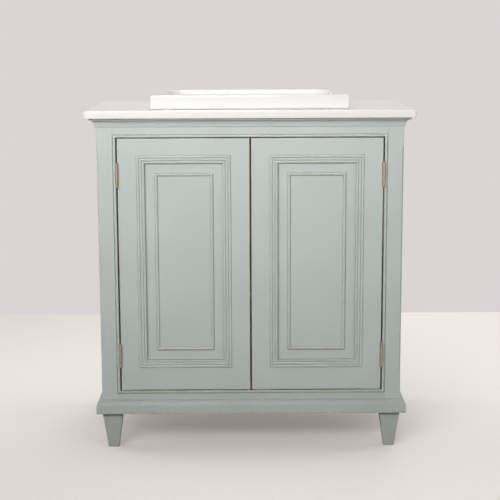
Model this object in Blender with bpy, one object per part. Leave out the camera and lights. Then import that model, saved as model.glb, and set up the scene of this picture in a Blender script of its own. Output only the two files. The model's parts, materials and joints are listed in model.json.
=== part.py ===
"""Two-door vanity unit: a painted in-frame cabinet on tapered legs, with a stone top and an inset basin.

Each piece is one closed solid in an object of its own. Lengths are in metres, +Z is up, the doors face -Y
and +X is to the right of someone who faces them. The origin is on the floor, midway across the worktop's
width and depth.
"""

import math

import bmesh
import bpy
from mathutils import Vector

# Clearances
SEAT_GAP = 0.0003  # between pieces that are glued, screwed or stand on each other
RUNNING_GAP = 0.0003  # round pieces that turn or slide in each other

# Carcass
BODY_WIDTH = 0.796
BODY_DEPTH = 0.463
BOARD_THICKNESS = 0.018
BACK_THICKNESS = 0.009
HOUSING_DEPTH = 0.006  # grooves in the side panels that take the floor, the shelf and the back
REAR_RAIL_HEIGHT = 0.060
SHELF_HEIGHT = 0.420  # top face above the floor
SHELF_DEPTH = 0.300
SHELF_SETBACK = 0.010  # behind the closed doors
SERVICE_WIDTH = 0.300  # opening in the back panel for pipes
SERVICE_X = 0.195  # its middle, beside the line between the doors so that no light shows there
SERVICE_HEIGHT = 0.180
SERVICE_BOTTOM = 0.480
SERVICE_CORNER = 0.020

# Worktop
WORKTOP_HEIGHT = 0.905  # top face above the floor
WORKTOP_THICKNESS = 0.020
WORKTOP_OVERHANG = 0.027  # past the body at the front and at both sides
WORKTOP_CORNER = 0.004
WORKTOP_ARRIS = 0.0018

# Legs
LEG_HEIGHT = 0.099
LEG_TOP = 0.054
LEG_FOOT = 0.0275
LEG_ARRIS = 0.0015
SPIGOT_RADIUS = 0.010
SPIGOT_STOP = 0.003  # short of the base board's top face

# Face frame
FRAME_THICKNESS = 0.022
FRAME_STILE_WIDTH = 0.0409
FRIEZE_HEIGHT = 0.0195  # top rail shown between cornice and bead
BOTTOM_RAIL_SHOWN = 0.016  # bottom rail shown between plinth and bead
FRAME_ARRIS = 0.0006
CHAMFER = 0.004  # on the stiles' outer corners
CHAMFER_STOP = 0.052  # from the cornice or the plinth to where the chamfer starts
CHAMFER_RUN_OUT = 0.006
TENON_LENGTH = 0.018
TENON_THICKNESS = 0.008
TENON_SHOULDER = 0.008

# Bead round the door opening
BEAD_WIDTH = 0.0085
BEAD_ROUND = 0.0022
QUIRK_WIDTH = 0.0014
QUIRK_DEPTH = 0.0024

# Cornice and plinth
CORNICE_HEIGHT = 0.0225
CORNICE_PROJECTION = 0.017
CORNICE_FILLET = 0.0045
CORNICE_STEP = 0.0012
CORNICE_FOOT = 0.0035
CORNICE_FOOT_HEIGHT = 0.0030
PLINTH_HEIGHT = 0.0365
PLINTH_PROJECTION = 0.0145
PLINTH_NOSE = 0.018
PLINTH_LIP = 0.002

# Doors
DOOR_THICKNESS = 0.022
DOOR_SIDE_GAP = 0.0036
DOOR_END_GAP = 0.002
MEETING_GAP = 0.0034
DOOR_STILE = 0.0485
DOOR_TOP_RAIL = 0.044
DOOR_BOTTOM_RAIL = 0.060
DOOR_ARRIS = 0.0010
PANEL_THICKNESS = 0.009
PANEL_SETBACK = 0.008  # panel's face behind the door's face
PANEL_GROOVE = 0.010
PANEL_PLAY = 0.001  # room for the panel to move in its groove
MOULDING_WIDTH = 0.0215
MOULDING_PROUD = 0.0022  # crest of the outer reed, in front of the door's face
REED_COUNT = 3
REED_FALL = 0.0011  # each reed lies this much behind the one outside it
REED_RISE = 0.0022  # crest of a reed above the quirk beside it
FIELD_WIDTH = 0.025  # flat panel between the moulding and the inner bead
PANEL_BEAD_WIDTH = 0.0085
PANEL_BEAD_HEIGHT = 0.0042

# Hinges
HINGE_HEIGHT = 0.064
HINGE_INSET = 0.063  # from the door's end to the hinge
LEAF_THICKNESS = 0.002
LEAF_WIDTH = 0.022  # from the pin's axis
KNUCKLE_COUNT = 5
KNUCKLE_CLEARANCE = 0.0004  # between knuckle and door face
PIN_HEAD = 0.0012

# Basin
BASIN_WIDTH = 0.518
BASIN_DEPTH = 0.410
BASIN_SETBACK = 0.048  # behind the worktop's front edge
BASIN_RISE = 0.0375  # rim above the worktop
BASIN_CORNER = 0.014
BASIN_EDGE = 0.0045
BASIN_WALL = 0.011
SKIRT_THICKNESS = 0.014
CUT_OUT_STEP = 0.001  # worktop's edge that shows inside the skirt
RIM_THICKNESS = 0.013
BOWL_ROOM_SIDE = 0.011  # between the skirt and the outside of the bowl
BOWL_ROOM_FRONT = 0.004
TAP_LEDGE = 0.085
TAP_HOLE_RADIUS = 0.0175
BOWL_CORNER = 0.050
BOWL_LIP = 0.008
BOWL_DEPTH = 0.125
BOWL_SQUARENESS = 2.7  # exponent of the superellipse that shapes the bowl
OVERFLOW_RADIUS = 0.010
OVERFLOW_DROP = 0.034
OVERFLOW_DEPTH = 0.006
SEAL_THICKNESS = 0.002
SEAL_INSET = 0.0025

# Basin waste
WASTE_HOLE_RADIUS = 0.0225
WASTE_BORE_RADIUS = 0.0175
WASTE_TAIL = 0.080
FLANGE_RADIUS = 0.032
FLANGE_SEAT = 0.004
NUT_HALF_WIDTH = 0.029
NUT_HEIGHT = 0.012
NUT_FLATS = 6
PLUG_RADIUS = 0.030
PLUG_EDGE = 0.003
PLUG_CROWN = 0.004
PLUG_STEM_RADIUS = 0.005
PLUG_STEM_LENGTH = 0.026
PLUG_GUIDE_HEIGHT = 0.008
PLUG_PORT_COUNT = 4  # holes through the guide that let the water past
PLUG_PORT_WALL = 0.0013

# Push latch
PLUNGER_RADIUS = 0.0045
PLUNGER_SPACING = 0.034
PLUNGER_REACH = 0.010  # stands out of the housing
PLUNGER_TAIL = 0.022  # stays in the housing
PLUNGER_TRAVEL = 0.004
PLUNGER_ARRIS = 0.0008
STRIKE_ROOM = 0.0014  # for a strike plate between plunger and door
LATCH_WALL = 0.0035
LATCH_EAR = 0.010
LATCH_EAR_THICKNESS = 0.0025

# Levels and planes that follow from the sizes
BODY_X = BODY_WIDTH / 2
INNER_X = BODY_X - BOARD_THICKNESS
HOUSED_X = INNER_X + HOUSING_DEPTH - SEAT_GAP
WORKTOP_X = BODY_X + WORKTOP_OVERHANG
BACK_Y = (BODY_DEPTH + WORKTOP_OVERHANG) / 2
FACE_Y = BACK_Y - BODY_DEPTH
FRAME_BACK_Y = FACE_Y + FRAME_THICKNESS
DOOR_BACK_Y = FACE_Y + DOOR_THICKNESS
PANEL_FRONT_Y = FACE_Y + PANEL_SETBACK
BACK_PANEL_Y = BACK_Y - BACK_THICKNESS
SHELF_FRONT_Y = max(FRAME_BACK_Y, DOOR_BACK_Y) + SHELF_SETBACK
BASE_TOP = LEG_HEIGHT + BOARD_THICKNESS
CARCASS_BOTTOM = BASE_TOP + SEAT_GAP
WORKTOP_UNDERSIDE = WORKTOP_HEIGHT - WORKTOP_THICKNESS
CARCASS_TOP = WORKTOP_UNDERSIDE - SEAT_GAP
PLINTH_TOP = LEG_HEIGHT + PLINTH_HEIGHT
CORNICE_BOTTOM = WORKTOP_UNDERSIDE - CORNICE_HEIGHT
OPENING_X = BODY_X - FRAME_STILE_WIDTH - BEAD_WIDTH
OPENING_BOTTOM = PLINTH_TOP + BOTTOM_RAIL_SHOWN + BEAD_WIDTH
OPENING_TOP = CORNICE_BOTTOM - FRIEZE_HEIGHT - BEAD_WIDTH
FRAME_INNER_X = OPENING_X + BEAD_WIDTH
DOOR_X = OPENING_X - DOOR_SIDE_GAP
DOOR_BOTTOM = OPENING_BOTTOM + DOOR_END_GAP
DOOR_TOP = OPENING_TOP - DOOR_END_GAP
KNUCKLE_BORE = DOOR_SIDE_GAP / 2
KNUCKLE_RADIUS = KNUCKLE_BORE + LEAF_THICKNESS
HINGE_X = OPENING_X - KNUCKLE_BORE
HINGE_Y = FACE_Y - KNUCKLE_RADIUS - KNUCKLE_CLEARANCE
HINGE_LEVELS = {"lower": DOOR_BOTTOM + HINGE_INSET, "upper": DOOR_TOP - HINGE_INSET - HINGE_HEIGHT}
MITRE_GAP = SEAT_GAP / math.sqrt(2)
BASIN_FRONT_Y = BACK_Y - BODY_DEPTH - WORKTOP_OVERHANG + BASIN_SETBACK
BASIN_BACK_Y = BASIN_FRONT_Y + BASIN_DEPTH
BASIN_Y = (BASIN_FRONT_Y + BASIN_BACK_Y) / 2
RIM_TOP = WORKTOP_HEIGHT + BASIN_RISE
SKIRT_BOTTOM = WORKTOP_HEIGHT + SEAL_THICKNESS
RIM_FRONT = SKIRT_THICKNESS + BOWL_ROOM_FRONT + BASIN_WALL
BOWL_HALF_X = BASIN_WIDTH / 2 - SKIRT_THICKNESS - BOWL_ROOM_SIDE - BASIN_WALL
BOWL_HALF_Y = (BASIN_DEPTH - RIM_FRONT - TAP_LEDGE) / 2
BOWL_Y = BASIN_FRONT_Y + RIM_FRONT + BOWL_HALF_Y
BOWL_FLOOR = RIM_TOP - BOWL_DEPTH
FLANGE_SEAT_RADIUS = FLANGE_RADIUS + SEAT_GAP
BOSS_BOTTOM = BOWL_FLOOR - FLANGE_SEAT - BASIN_WALL
WASTE_TUBE_RADIUS = WASTE_HOLE_RADIUS - SEAT_GAP
SIDES = {"left": -1, "right": 1}
ENDS = {"front": -1, "rear": 1}

# Facets
ARC_STEPS = 6
CORNER_STEPS = 6
ROUND_SIDES = 28
NUT_SIDES = 4 * NUT_FLATS
ARRIS_TURNS = (0, 45, 90)  # degrees round a worktop edge
EDGE_TURNS = (0, 30, 60, 90)  # round the basin's edges
BOWL_TURNS = (8, 18, 28, 38, 48, 58, 68, 78)  # down the bowl's wall
CROWN_TURN = 75  # up the plug's crown
SMOOTH_ANGLE = math.radians(35)
WELD = 1e-6


# Meshes


def principled(name, colour, roughness, metallic=0.0):
    material = bpy.data.materials.new(name)
    material.use_nodes = True
    shader = material.node_tree.nodes["Principled BSDF"]
    shader.inputs["Base Color"].default_value = (*colour, 1.0)
    shader.inputs["Roughness"].default_value = roughness
    shader.inputs["Metallic"].default_value = metallic
    return material


def solid(name, points, faces, finish, parent=None, origin=(0.0, 0.0, 0.0)):
    """Make an object from points in the unit's frame, with its origin at the given place."""
    base = parent.location.copy() if parent else Vector(origin)
    mesh = bpy.data.meshes.new(name)
    mesh.from_pydata([Vector(point) - base for point in points], [], faces)
    shell = bmesh.new()
    shell.from_mesh(mesh)
    bmesh.ops.remove_doubles(shell, verts=shell.verts, dist=WELD)
    bmesh.ops.recalc_face_normals(shell, faces=shell.faces)
    shell.to_mesh(mesh)
    shell.free()
    mesh.shade_smooth()
    mesh.set_sharp_from_angle(angle=SMOOTH_ANGLE)
    mesh.materials.append(finish)
    piece = bpy.data.objects.new(name, mesh)
    bpy.context.scene.collection.objects.link(piece)
    piece.parent = parent
    if not parent:
        piece.location = base
    return piece


def box(name, low, high, finish, **placing):
    points = [(x, y, z) for x in (low[0], high[0]) for y in (low[1], high[1]) for z in (low[2], high[2])]
    faces = [(0, 1, 3, 2), (4, 6, 7, 5), (0, 4, 5, 1), (2, 3, 7, 6), (0, 2, 6, 4), (1, 5, 7, 3)]
    return solid(name, points, faces, finish, **placing)


def loft(name, loops, finish, ring=False, **placing):
    """Skin loops of equally many points: capped at both ends, or joined end to end as a ring."""
    count = len(loops[0])
    points = [point for loop in loops for point in loop]
    faces = []
    for index in range(len(loops) if ring else len(loops) - 1):
        start = index * count
        after = (index + 1) % len(loops) * count
        for side in range(count):
            turn = (side + 1) % count
            faces.append((start + side, start + turn, after + turn, after + side))
    if not ring:
        faces.append(tuple(range(count)))
        faces.append(tuple(range(len(points) - count, len(points))))
    return solid(name, points, faces, finish, **placing)


def arc(centre, radius_u, radius_v, start, end, steps=ARC_STEPS):
    """Points of an elliptical arc in a plane, angles in degrees."""
    angles = [math.radians(start + (end - start) * step / steps) for step in range(steps + 1)]
    return [(centre[0] + radius_u * math.cos(a), centre[1] + radius_v * math.sin(a)) for a in angles]


def rounded_rectangle(half_u, half_v, radius, steps=CORNER_STEPS):
    """Outline of a rectangle about the origin with its four corners rounded."""
    u = half_u - radius
    v = half_v - radius
    corners = ((u, v, 0), (-u, v, 90), (-u, -v, 180), (u, -v, 270))
    return [
        point
        for centre_u, centre_v, start in corners
        for point in arc((centre_u, centre_v), radius, radius, start, start + 90, steps)
    ]


def level_loop(half_x, half_y, radius, centre, z, steps=CORNER_STEPS):
    """Rounded rectangle, or a circle when all three sizes agree, at one height."""
    outline = rounded_rectangle(half_x, half_y, radius, steps)
    return [(centre[0] + x, centre[1] + y, z) for x, y in outline]


def turned_loops(profile, centre, axis="Z", sides=ROUND_SIDES):
    """Circles for (radius, distance along the axis) pairs, about a line through centre."""
    turns = [2 * math.pi * side / sides for side in range(sides)]
    loops = []
    for radius, along in profile:
        ring = [(radius * math.cos(turn), radius * math.sin(turn)) for turn in turns]
        if axis == "Z":
            loops.append([(centre[0] + u, centre[1] + v, centre[2] + along) for u, v in ring])
        else:
            loops.append([(centre[0] + u, centre[1] + along, centre[2] + v) for u, v in ring])
    return loops


def bar(outline, start, end, place):
    """Two loops of one outline; place turns an outline point and an end into a point in space."""
    return [[place(u, v, start) for u, v in outline], [place(u, v, end) for u, v in outline]]


def cut(piece, cutter):
    """Take the cutter's shape out of a piece."""
    cutter.hide_render = True
    cutter.display_type = "WIRE"
    hole = piece.modifiers.new(cutter.name, "BOOLEAN")
    hole.operation = "DIFFERENCE"
    hole.object = cutter


def axis_empty(name, place):
    empty = bpy.data.objects.new(name, None)
    empty.location = place
    bpy.context.scene.collection.objects.link(empty)
    return empty


# Finishes

PAINT = principled("sage_paint", (0.48, 0.53, 0.49), 0.45)
INSIDE_PAINT = principled("inside_paint", (0.55, 0.57, 0.53), 0.55)
STONE = principled("pale_quartz", (0.82, 0.80, 0.79), 0.25)
CERAMIC = principled("glazed_ceramic", (0.90, 0.90, 0.89), 0.08)
BRASS = principled("satin_brass", (0.60, 0.42, 0.20), 0.30, 1.0)
CHROME = principled("chrome", (0.80, 0.80, 0.80), 0.08, 1.0)
SEALANT = principled("grey_sealant", (0.45, 0.45, 0.44), 0.60)
NYLON = principled("grey_nylon", (0.35, 0.35, 0.35), 0.45)


# Carcass


def make_base_and_legs():
    """A board under the whole body, with a tapered leg pegged into it at each corner."""
    board = box(
        "base_board",
        (-BODY_X, FACE_Y, LEG_HEIGHT + SEAT_GAP),
        (BODY_X, BACK_Y, BASE_TOP),
        INSIDE_PAINT,
    )
    for end, end_sign in ENDS.items():
        edge_y = FACE_Y if end == "front" else BACK_Y
        for side, sign in SIDES.items():
            centre = (sign * (BODY_X - LEG_TOP / 2), edge_y - end_sign * LEG_TOP / 2)
            squares = ((LEG_FOOT / 2, 0.0), (LEG_TOP / 2, LEG_HEIGHT))
            loops = [level_loop(half, half, LEG_ARRIS, centre, z) for half, z in squares]
            for z in (LEG_HEIGHT, BASE_TOP - SPIGOT_STOP):
                loops.append(level_loop(SPIGOT_RADIUS, SPIGOT_RADIUS, SPIGOT_RADIUS, centre, z))
            loft(f"leg_{end}_{side}", loops, PAINT, origin=(*centre, LEG_HEIGHT))
            hole = SPIGOT_RADIUS + SEAT_GAP
            hole_levels = (LEG_HEIGHT - BOARD_THICKNESS, BASE_TOP + BOARD_THICKNESS)
            hole_loops = [level_loop(hole, hole, hole, centre, z) for z in hole_levels]
            cut(board, loft(f"cut_spigot_{end}_{side}", hole_loops, INSIDE_PAINT))


def make_side_panel(side, sign):
    """A side with grooves for the floor and the shelf and a rebate for the back panel."""
    front = FRAME_BACK_Y + SEAT_GAP
    panel = box(
        f"{side}_side_panel",
        (sign * INNER_X, front, CARCASS_BOTTOM),
        (sign * BODY_X, BACK_Y, CARCASS_TOP),
        PAINT,
    )
    grooves = {
        "floor": (front - BOARD_THICKNESS, BACK_Y + BOARD_THICKNESS, OPENING_BOTTOM),
        "shelf": (SHELF_FRONT_Y - SEAT_GAP, SHELF_FRONT_Y + SHELF_DEPTH + SEAT_GAP, SHELF_HEIGHT),
    }
    near = sign * (INNER_X - BOARD_THICKNESS)
    far = sign * (INNER_X + HOUSING_DEPTH)
    for use, (start, end, top) in grooves.items():
        low = (near, start, top - BOARD_THICKNESS - SEAT_GAP)
        cut(panel, box(f"cut_{use}_{side}", low, (far, end, top + SEAT_GAP), PAINT))
    rebate_low = (near, BACK_PANEL_Y - SEAT_GAP, CARCASS_BOTTOM - BOARD_THICKNESS)
    rebate_high = (far, BACK_Y + BOARD_THICKNESS, CARCASS_TOP + BOARD_THICKNESS)
    cut(panel, box(f"cut_back_{side}", rebate_low, rebate_high, PAINT))


def make_inside():
    """Floor, shelf, rear rail and the back panel with its opening for pipes."""
    front = FRAME_BACK_Y + SEAT_GAP
    back = BACK_PANEL_Y - SEAT_GAP
    box(
        "cabinet_floor",
        (-HOUSED_X, front, OPENING_BOTTOM - BOARD_THICKNESS),
        (HOUSED_X, back, OPENING_BOTTOM),
        INSIDE_PAINT,
    )
    box(
        "shelf",
        (-HOUSED_X, SHELF_FRONT_Y, SHELF_HEIGHT - BOARD_THICKNESS),
        (HOUSED_X, SHELF_FRONT_Y + SHELF_DEPTH, SHELF_HEIGHT),
        INSIDE_PAINT,
    )
    rail_x = INNER_X - SEAT_GAP
    box(
        "rear_top_rail",
        (-rail_x, back - BOARD_THICKNESS, CARCASS_TOP - REAR_RAIL_HEIGHT),
        (rail_x, back, CARCASS_TOP),
        INSIDE_PAINT,
    )
    middle = (CARCASS_BOTTOM + CARCASS_TOP) / 2
    outer = rounded_rectangle(HOUSED_X, (CARCASS_TOP - CARCASS_BOTTOM) / 2, FRAME_ARRIS)
    opening = rounded_rectangle(SERVICE_WIDTH / 2, SERVICE_HEIGHT / 2, SERVICE_CORNER)
    opening_z = SERVICE_BOTTOM + SERVICE_HEIGHT / 2
    loops = [
        [(x, BACK_PANEL_Y, middle + z) for x, z in outer],
        [(x, BACK_Y, middle + z) for x, z in outer],
        [(SERVICE_X + x, BACK_Y, opening_z + z) for x, z in opening],
        [(SERVICE_X + x, BACK_PANEL_Y, opening_z + z) for x, z in opening],
    ]
    loft("back_panel", loops, INSIDE_PAINT, ring=True)


# Face frame and mouldings


def make_frame_stile(side, sign):
    """An upright with a stopped chamfer on its outer corner and mortises for the rails."""
    start = PLINTH_TOP + CHAMFER_STOP
    end = CORNICE_BOTTOM - CHAMFER_STOP
    stations = (
        (CARCASS_BOTTOM, FRAME_ARRIS),
        (start, FRAME_ARRIS),
        (start + CHAMFER_RUN_OUT, CHAMFER),
        (end - CHAMFER_RUN_OUT, CHAMFER),
        (end, FRAME_ARRIS),
        (CARCASS_TOP, FRAME_ARRIS),
    )
    loops = []
    for z, bevel in stations:
        corners = (
            (FRAME_INNER_X, FACE_Y),
            (BODY_X - bevel, FACE_Y),
            (BODY_X, FACE_Y + bevel),
            (BODY_X, FRAME_BACK_Y),
            (FRAME_INNER_X, FRAME_BACK_Y),
        )
        loops.append([(sign * x, y, z) for x, y in corners])
    stile = loft(f"frame_stile_{side}", loops, PAINT)
    for rail, (low, high) in rail_levels().items():
        tenon = tenon_box(low, high, SEAT_GAP)
        inside = sign * (FRAME_INNER_X - BOARD_THICKNESS)
        depth = sign * (FRAME_INNER_X + TENON_LENGTH + SEAT_GAP)
        mortise_low = (inside, tenon[0], tenon[2])
        mortise_high = (depth, tenon[1], tenon[3])
        cut(stile, box(f"cut_mortise_{rail}_{side}", mortise_low, mortise_high, PAINT))


def rail_levels():
    """Lower and upper edge of the frame's two rails."""
    return {
        "top": (OPENING_TOP + BEAD_WIDTH, CARCASS_TOP),
        "bottom": (CARCASS_BOTTOM, OPENING_BOTTOM - BEAD_WIDTH),
    }


def tenon_box(low, high, room):
    """Front, back, lower and upper limit of a rail's tenon, with room round it."""
    middle = (FACE_Y + FRAME_BACK_Y) / 2
    half = TENON_THICKNESS / 2 + room
    return middle - half, middle + half, low + TENON_SHOULDER - room, high - TENON_SHOULDER + room


def make_frame_rail(name, low, high):
    """A rail between the stiles, with a tenon at each end."""
    shoulder = FRAME_INNER_X - SEAT_GAP
    tip = FRAME_INNER_X + TENON_LENGTH
    front, back, tenon_low, tenon_high = tenon_box(low, high, 0.0)
    body = ((FACE_Y, low), (FRAME_BACK_Y, low), (FRAME_BACK_Y, high), (FACE_Y, high))
    tenon = ((front, tenon_low), (back, tenon_low), (back, tenon_high), (front, tenon_high))
    stations = ((-tip, tenon), (-shoulder, tenon), (-shoulder, body), (shoulder, body), (shoulder, tenon))
    loops = [[(x, y, z) for y, z in outline] for x, outline in (*stations, (tip, tenon))]
    loft(name, loops, PAINT)


def bead_outline():
    """Section of the opening bead: distance out from the opening, and depth; a quirk runs beside it."""
    nose = BEAD_WIDTH - QUIRK_WIDTH
    back = BEAD_WIDTH - SEAT_GAP
    return [
        *arc((BEAD_ROUND, FACE_Y + BEAD_ROUND), BEAD_ROUND, BEAD_ROUND, 180, 270, ARC_STEPS // 2),
        *arc((nose - BEAD_ROUND, FACE_Y + BEAD_ROUND), BEAD_ROUND, BEAD_ROUND, 270, 360, ARC_STEPS // 2),
        (nose, FACE_Y + QUIRK_DEPTH),
        (back, FACE_Y + QUIRK_DEPTH),
        (back, FRAME_BACK_Y),
        (0.0, FRAME_BACK_Y),
    ]


def make_opening_beads():
    """Four mitred strips round the door opening, those at the sides let in for the hinges."""
    outline = bead_outline()
    for side, sign in SIDES.items():

        def upright(out, y, end, sign=sign):
            level = OPENING_TOP if end > 0 else OPENING_BOTTOM
            return sign * (OPENING_X + out), y, level + end * (out - MITRE_GAP)

        strip = loft(f"opening_bead_{side}", bar(outline, -1, 1, upright), PAINT)
        for level, z in HINGE_LEVELS.items():
            low, high = leaf_recess(z)
            recess_low = (sign * (OPENING_X - BOARD_THICKNESS), *low)
            recess_high = (sign * (OPENING_X + LEAF_THICKNESS + SEAT_GAP), *high)
            cut(strip, box(f"cut_frame_leaf_{level}_{side}", recess_low, recess_high, PAINT))
    for end, (level, rise) in {"top": (OPENING_TOP, 1), "bottom": (OPENING_BOTTOM, -1)}.items():

        def lying(out, y, side, level=level, rise=rise):
            return side * (OPENING_X + out - MITRE_GAP), y, level + rise * out

        loft(f"opening_bead_{end}", bar(outline, -1, 1, lying), PAINT)


def leaf_recess(z):
    """Lower and upper (y, z) corners of the recess that takes a hinge leaf."""
    low = (FACE_Y - BOARD_THICKNESS, z - SEAT_GAP)
    high = (HINGE_Y + LEAF_WIDTH + SEAT_GAP, z + HINGE_HEIGHT + SEAT_GAP)
    return low, high


def cornice_outline():
    """Section of the cornice as projection and height: a fillet over a cove over a small foot."""
    cove_top = CARCASS_TOP - CORNICE_FILLET
    cove_bottom = CORNICE_BOTTOM + CORNICE_FOOT_HEIGHT
    cove_reach = CORNICE_PROJECTION - CORNICE_STEP
    cove = arc((cove_reach, cove_bottom), cove_reach - CORNICE_FOOT, cove_top - cove_bottom, 90, 180)
    return [
        (SEAT_GAP, CARCASS_TOP),
        (CORNICE_PROJECTION, CARCASS_TOP),
        (CORNICE_PROJECTION, cove_top),
        *cove,
        (CORNICE_FOOT, CORNICE_BOTTOM),
        (SEAT_GAP, CORNICE_BOTTOM),
    ]


def plinth_outline():
    """Section of the plinth as projection and height: a square face under a rounded nose."""
    nose_bottom = PLINTH_TOP - PLINTH_NOSE
    reach = PLINTH_PROJECTION - PLINTH_LIP
    return [
        (SEAT_GAP, LEG_HEIGHT),
        (PLINTH_PROJECTION, LEG_HEIGHT),
        *arc((PLINTH_LIP, nose_bottom), reach, PLINTH_NOSE, 0, 90),
        (SEAT_GAP, PLINTH_TOP),
    ]


def make_moulding(name, outline):
    """A moulding planted on the body's front and sides, mitred at the front corners."""

    def along_front(out, z, side):
        return side * (BODY_X + out - MITRE_GAP), FACE_Y - out, z

    loft(f"{name}_front", bar(outline, -1, 1, along_front), PAINT)
    for side, sign in SIDES.items():

        def along_side(out, z, end, sign=sign):
            y = BACK_Y if end > 0 else FACE_Y - out + MITRE_GAP
            return sign * (BODY_X + out), y, z

        loft(f"{name}_{side}", bar(outline, -1, 1, along_side), PAINT)


# Hinges


def rolled_edge():
    """Section of a knuckle rolled from the leaf: distance to the leaf's side, and distance back."""
    neck = KNUCKLE_RADIUS + RUNNING_GAP
    closing = math.degrees(math.acos((KNUCKLE_BORE - RUNNING_GAP) / KNUCKLE_RADIUS))
    turn = (0, closing - 360, 2 * ARC_STEPS)
    outside = arc((0, 0), KNUCKLE_RADIUS, KNUCKLE_RADIUS, *turn)
    inside = arc((0, 0), KNUCKLE_BORE, KNUCKLE_BORE, *turn)
    return [(KNUCKLE_RADIUS, neck), *outside, *reversed(inside), (KNUCKLE_BORE, neck)]


def make_leaf(name, pin_x, way, z_low, knuckles, parent=None):
    """A hinge leaf: a plate whose edge is rolled round the pin at every other knuckle."""
    pitch = HINGE_HEIGHT / KNUCKLE_COUNT
    spans = []
    for index in knuckles:
        low = z_low + index * pitch + (RUNNING_GAP / 2 if index else 0.0)
        is_last = index == KNUCKLE_COUNT - 1
        spans.append((low, z_low + (index + 1) * pitch - (0.0 if is_last else RUNNING_GAP / 2)))
    levels = sorted({z_low, z_low + HINGE_HEIGHT, *(z for span in spans for z in span)})
    roll = rolled_edge()
    plate = [roll[-1], roll[0], (KNUCKLE_RADIUS, LEAF_WIDTH), (KNUCKLE_BORE, LEAF_WIDTH)]

    def place(u, v, z):
        return pin_x + way * u, HINGE_Y + v, z

    points = [place(u, v, z) for z in levels for u, v in plate]
    faces = [(0, 1, 2, 3), tuple(len(points) - 4 + corner for corner in range(4))]
    for index, span in enumerate(zip(levels, levels[1:])):
        below = 4 * index
        above = below + 4
        open_sides = (1, 2, 3) if span in spans else (0, 1, 2, 3)
        for corner in open_sides:
            turn = (corner + 1) % 4
            faces.append((below + corner, below + turn, above + turn, above + corner))
        if span in spans:
            rings = []
            for plate_start, z in ((below, span[0]), (above, span[1])):
                first = len(points)
                points += [place(u, v, z) for u, v in roll[1:-1]]
                rings.append([plate_start + 1, *range(first, len(points)), plate_start])
            for (a, b), (c, d) in zip(zip(rings[0], rings[0][1:]), zip(rings[1], rings[1][1:])):
                faces.append((a, b, d, c))
            faces += [tuple(rings[0]), tuple(rings[1])]
    solid(name, points, faces, BRASS, parent=parent)


def make_hinge(side, sign, level, z_low, door_axis):
    """A butt hinge: the frame's leaf has the outer knuckles, the door's leaf those between."""
    pin_x = sign * HINGE_X
    outer = range(0, KNUCKLE_COUNT, 2)
    between = range(1, KNUCKLE_COUNT, 2)
    make_leaf(f"hinge_frame_leaf_{level}_{side}", pin_x, sign, z_low, outer)
    make_leaf(f"hinge_door_leaf_{level}_{side}", pin_x, -sign, z_low, between, door_axis)
    pin = KNUCKLE_BORE - RUNNING_GAP
    head = KNUCKLE_RADIUS - LEAF_THICKNESS / 2
    top = HINGE_HEIGHT + SEAT_GAP
    profile = (
        (head, -SEAT_GAP - PIN_HEAD),
        (head, -SEAT_GAP),
        (pin, -SEAT_GAP),
        (pin, top),
        (head, top),
        (head, top + PIN_HEAD),
    )
    place = (pin_x, HINGE_Y, z_low)
    loops = turned_loops(profile, place, sides=ROUND_SIDES // 2)
    loft(f"hinge_pin_{level}_{side}", loops, BRASS, origin=place)


# Doors


def reed_outline(field_y):
    """Section of the panel moulding as distance in from the frame, and depth: reeds that step inwards."""
    reed = (MOULDING_WIDTH - SEAT_GAP) / REED_COUNT
    outline = [(SEAT_GAP, field_y - SEAT_GAP)]
    for index in range(REED_COUNT):
        crest = FACE_Y - MOULDING_PROUD + index * REED_FALL
        centre = (SEAT_GAP + (index + 0.5) * reed, crest + REED_RISE)
        outline += arc(centre, reed / 2, REED_RISE, 180, 360, ARC_STEPS)
    outline.append((MOULDING_WIDTH, field_y - SEAT_GAP))
    return outline


def panel_bead_outline(field_y):
    """Section of the half-round bead planted on the panel."""
    half = PANEL_BEAD_WIDTH / 2
    foot = field_y - SEAT_GAP
    return arc((half, foot), half, PANEL_BEAD_HEIGHT, 180, 360, 2 * ARC_STEPS)


def mitred_ring(name, outline, low, high, axis):
    """Carry a section round the inside of a rectangle in the door's plane, mitred at its corners."""
    corners = (
        (low[0], low[1], 1, 1),
        (high[0], low[1], -1, 1),
        (high[0], high[1], -1, -1),
        (low[0], high[1], 1, -1),
    )
    loops = []
    for x, z, way_x, way_z in corners:
        loops.append([(x + way_x * inward, y, z + way_z * inward) for inward, y in outline])
    loft(name, loops, PAINT, ring=True, parent=axis)


def make_door_stile(name, outer_x, inner_x, axis):
    """An upright of the door: grooved on its inner edge, with a soft arris on its outer one."""
    way = math.copysign(1, inner_x - outer_x)
    outline = [
        *arc((DOOR_ARRIS, FACE_Y + DOOR_ARRIS), DOOR_ARRIS, DOOR_ARRIS, 180, 270, ARC_STEPS // 2),
        (DOOR_STILE, FACE_Y),
        (DOOR_STILE, PANEL_FRONT_Y - SEAT_GAP),
        (DOOR_STILE - PANEL_GROOVE, PANEL_FRONT_Y - SEAT_GAP),
        (DOOR_STILE - PANEL_GROOVE, PANEL_FRONT_Y + PANEL_THICKNESS + SEAT_GAP),
        (DOOR_STILE, PANEL_FRONT_Y + PANEL_THICKNESS + SEAT_GAP),
        (DOOR_STILE, DOOR_BACK_Y),
        (0.0, DOOR_BACK_Y),
    ]

    def upright(u, y, z):
        return outer_x + way * u, y, z

    return loft(name, bar(outline, DOOR_BOTTOM, DOOR_TOP, upright), PAINT, parent=axis)


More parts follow.
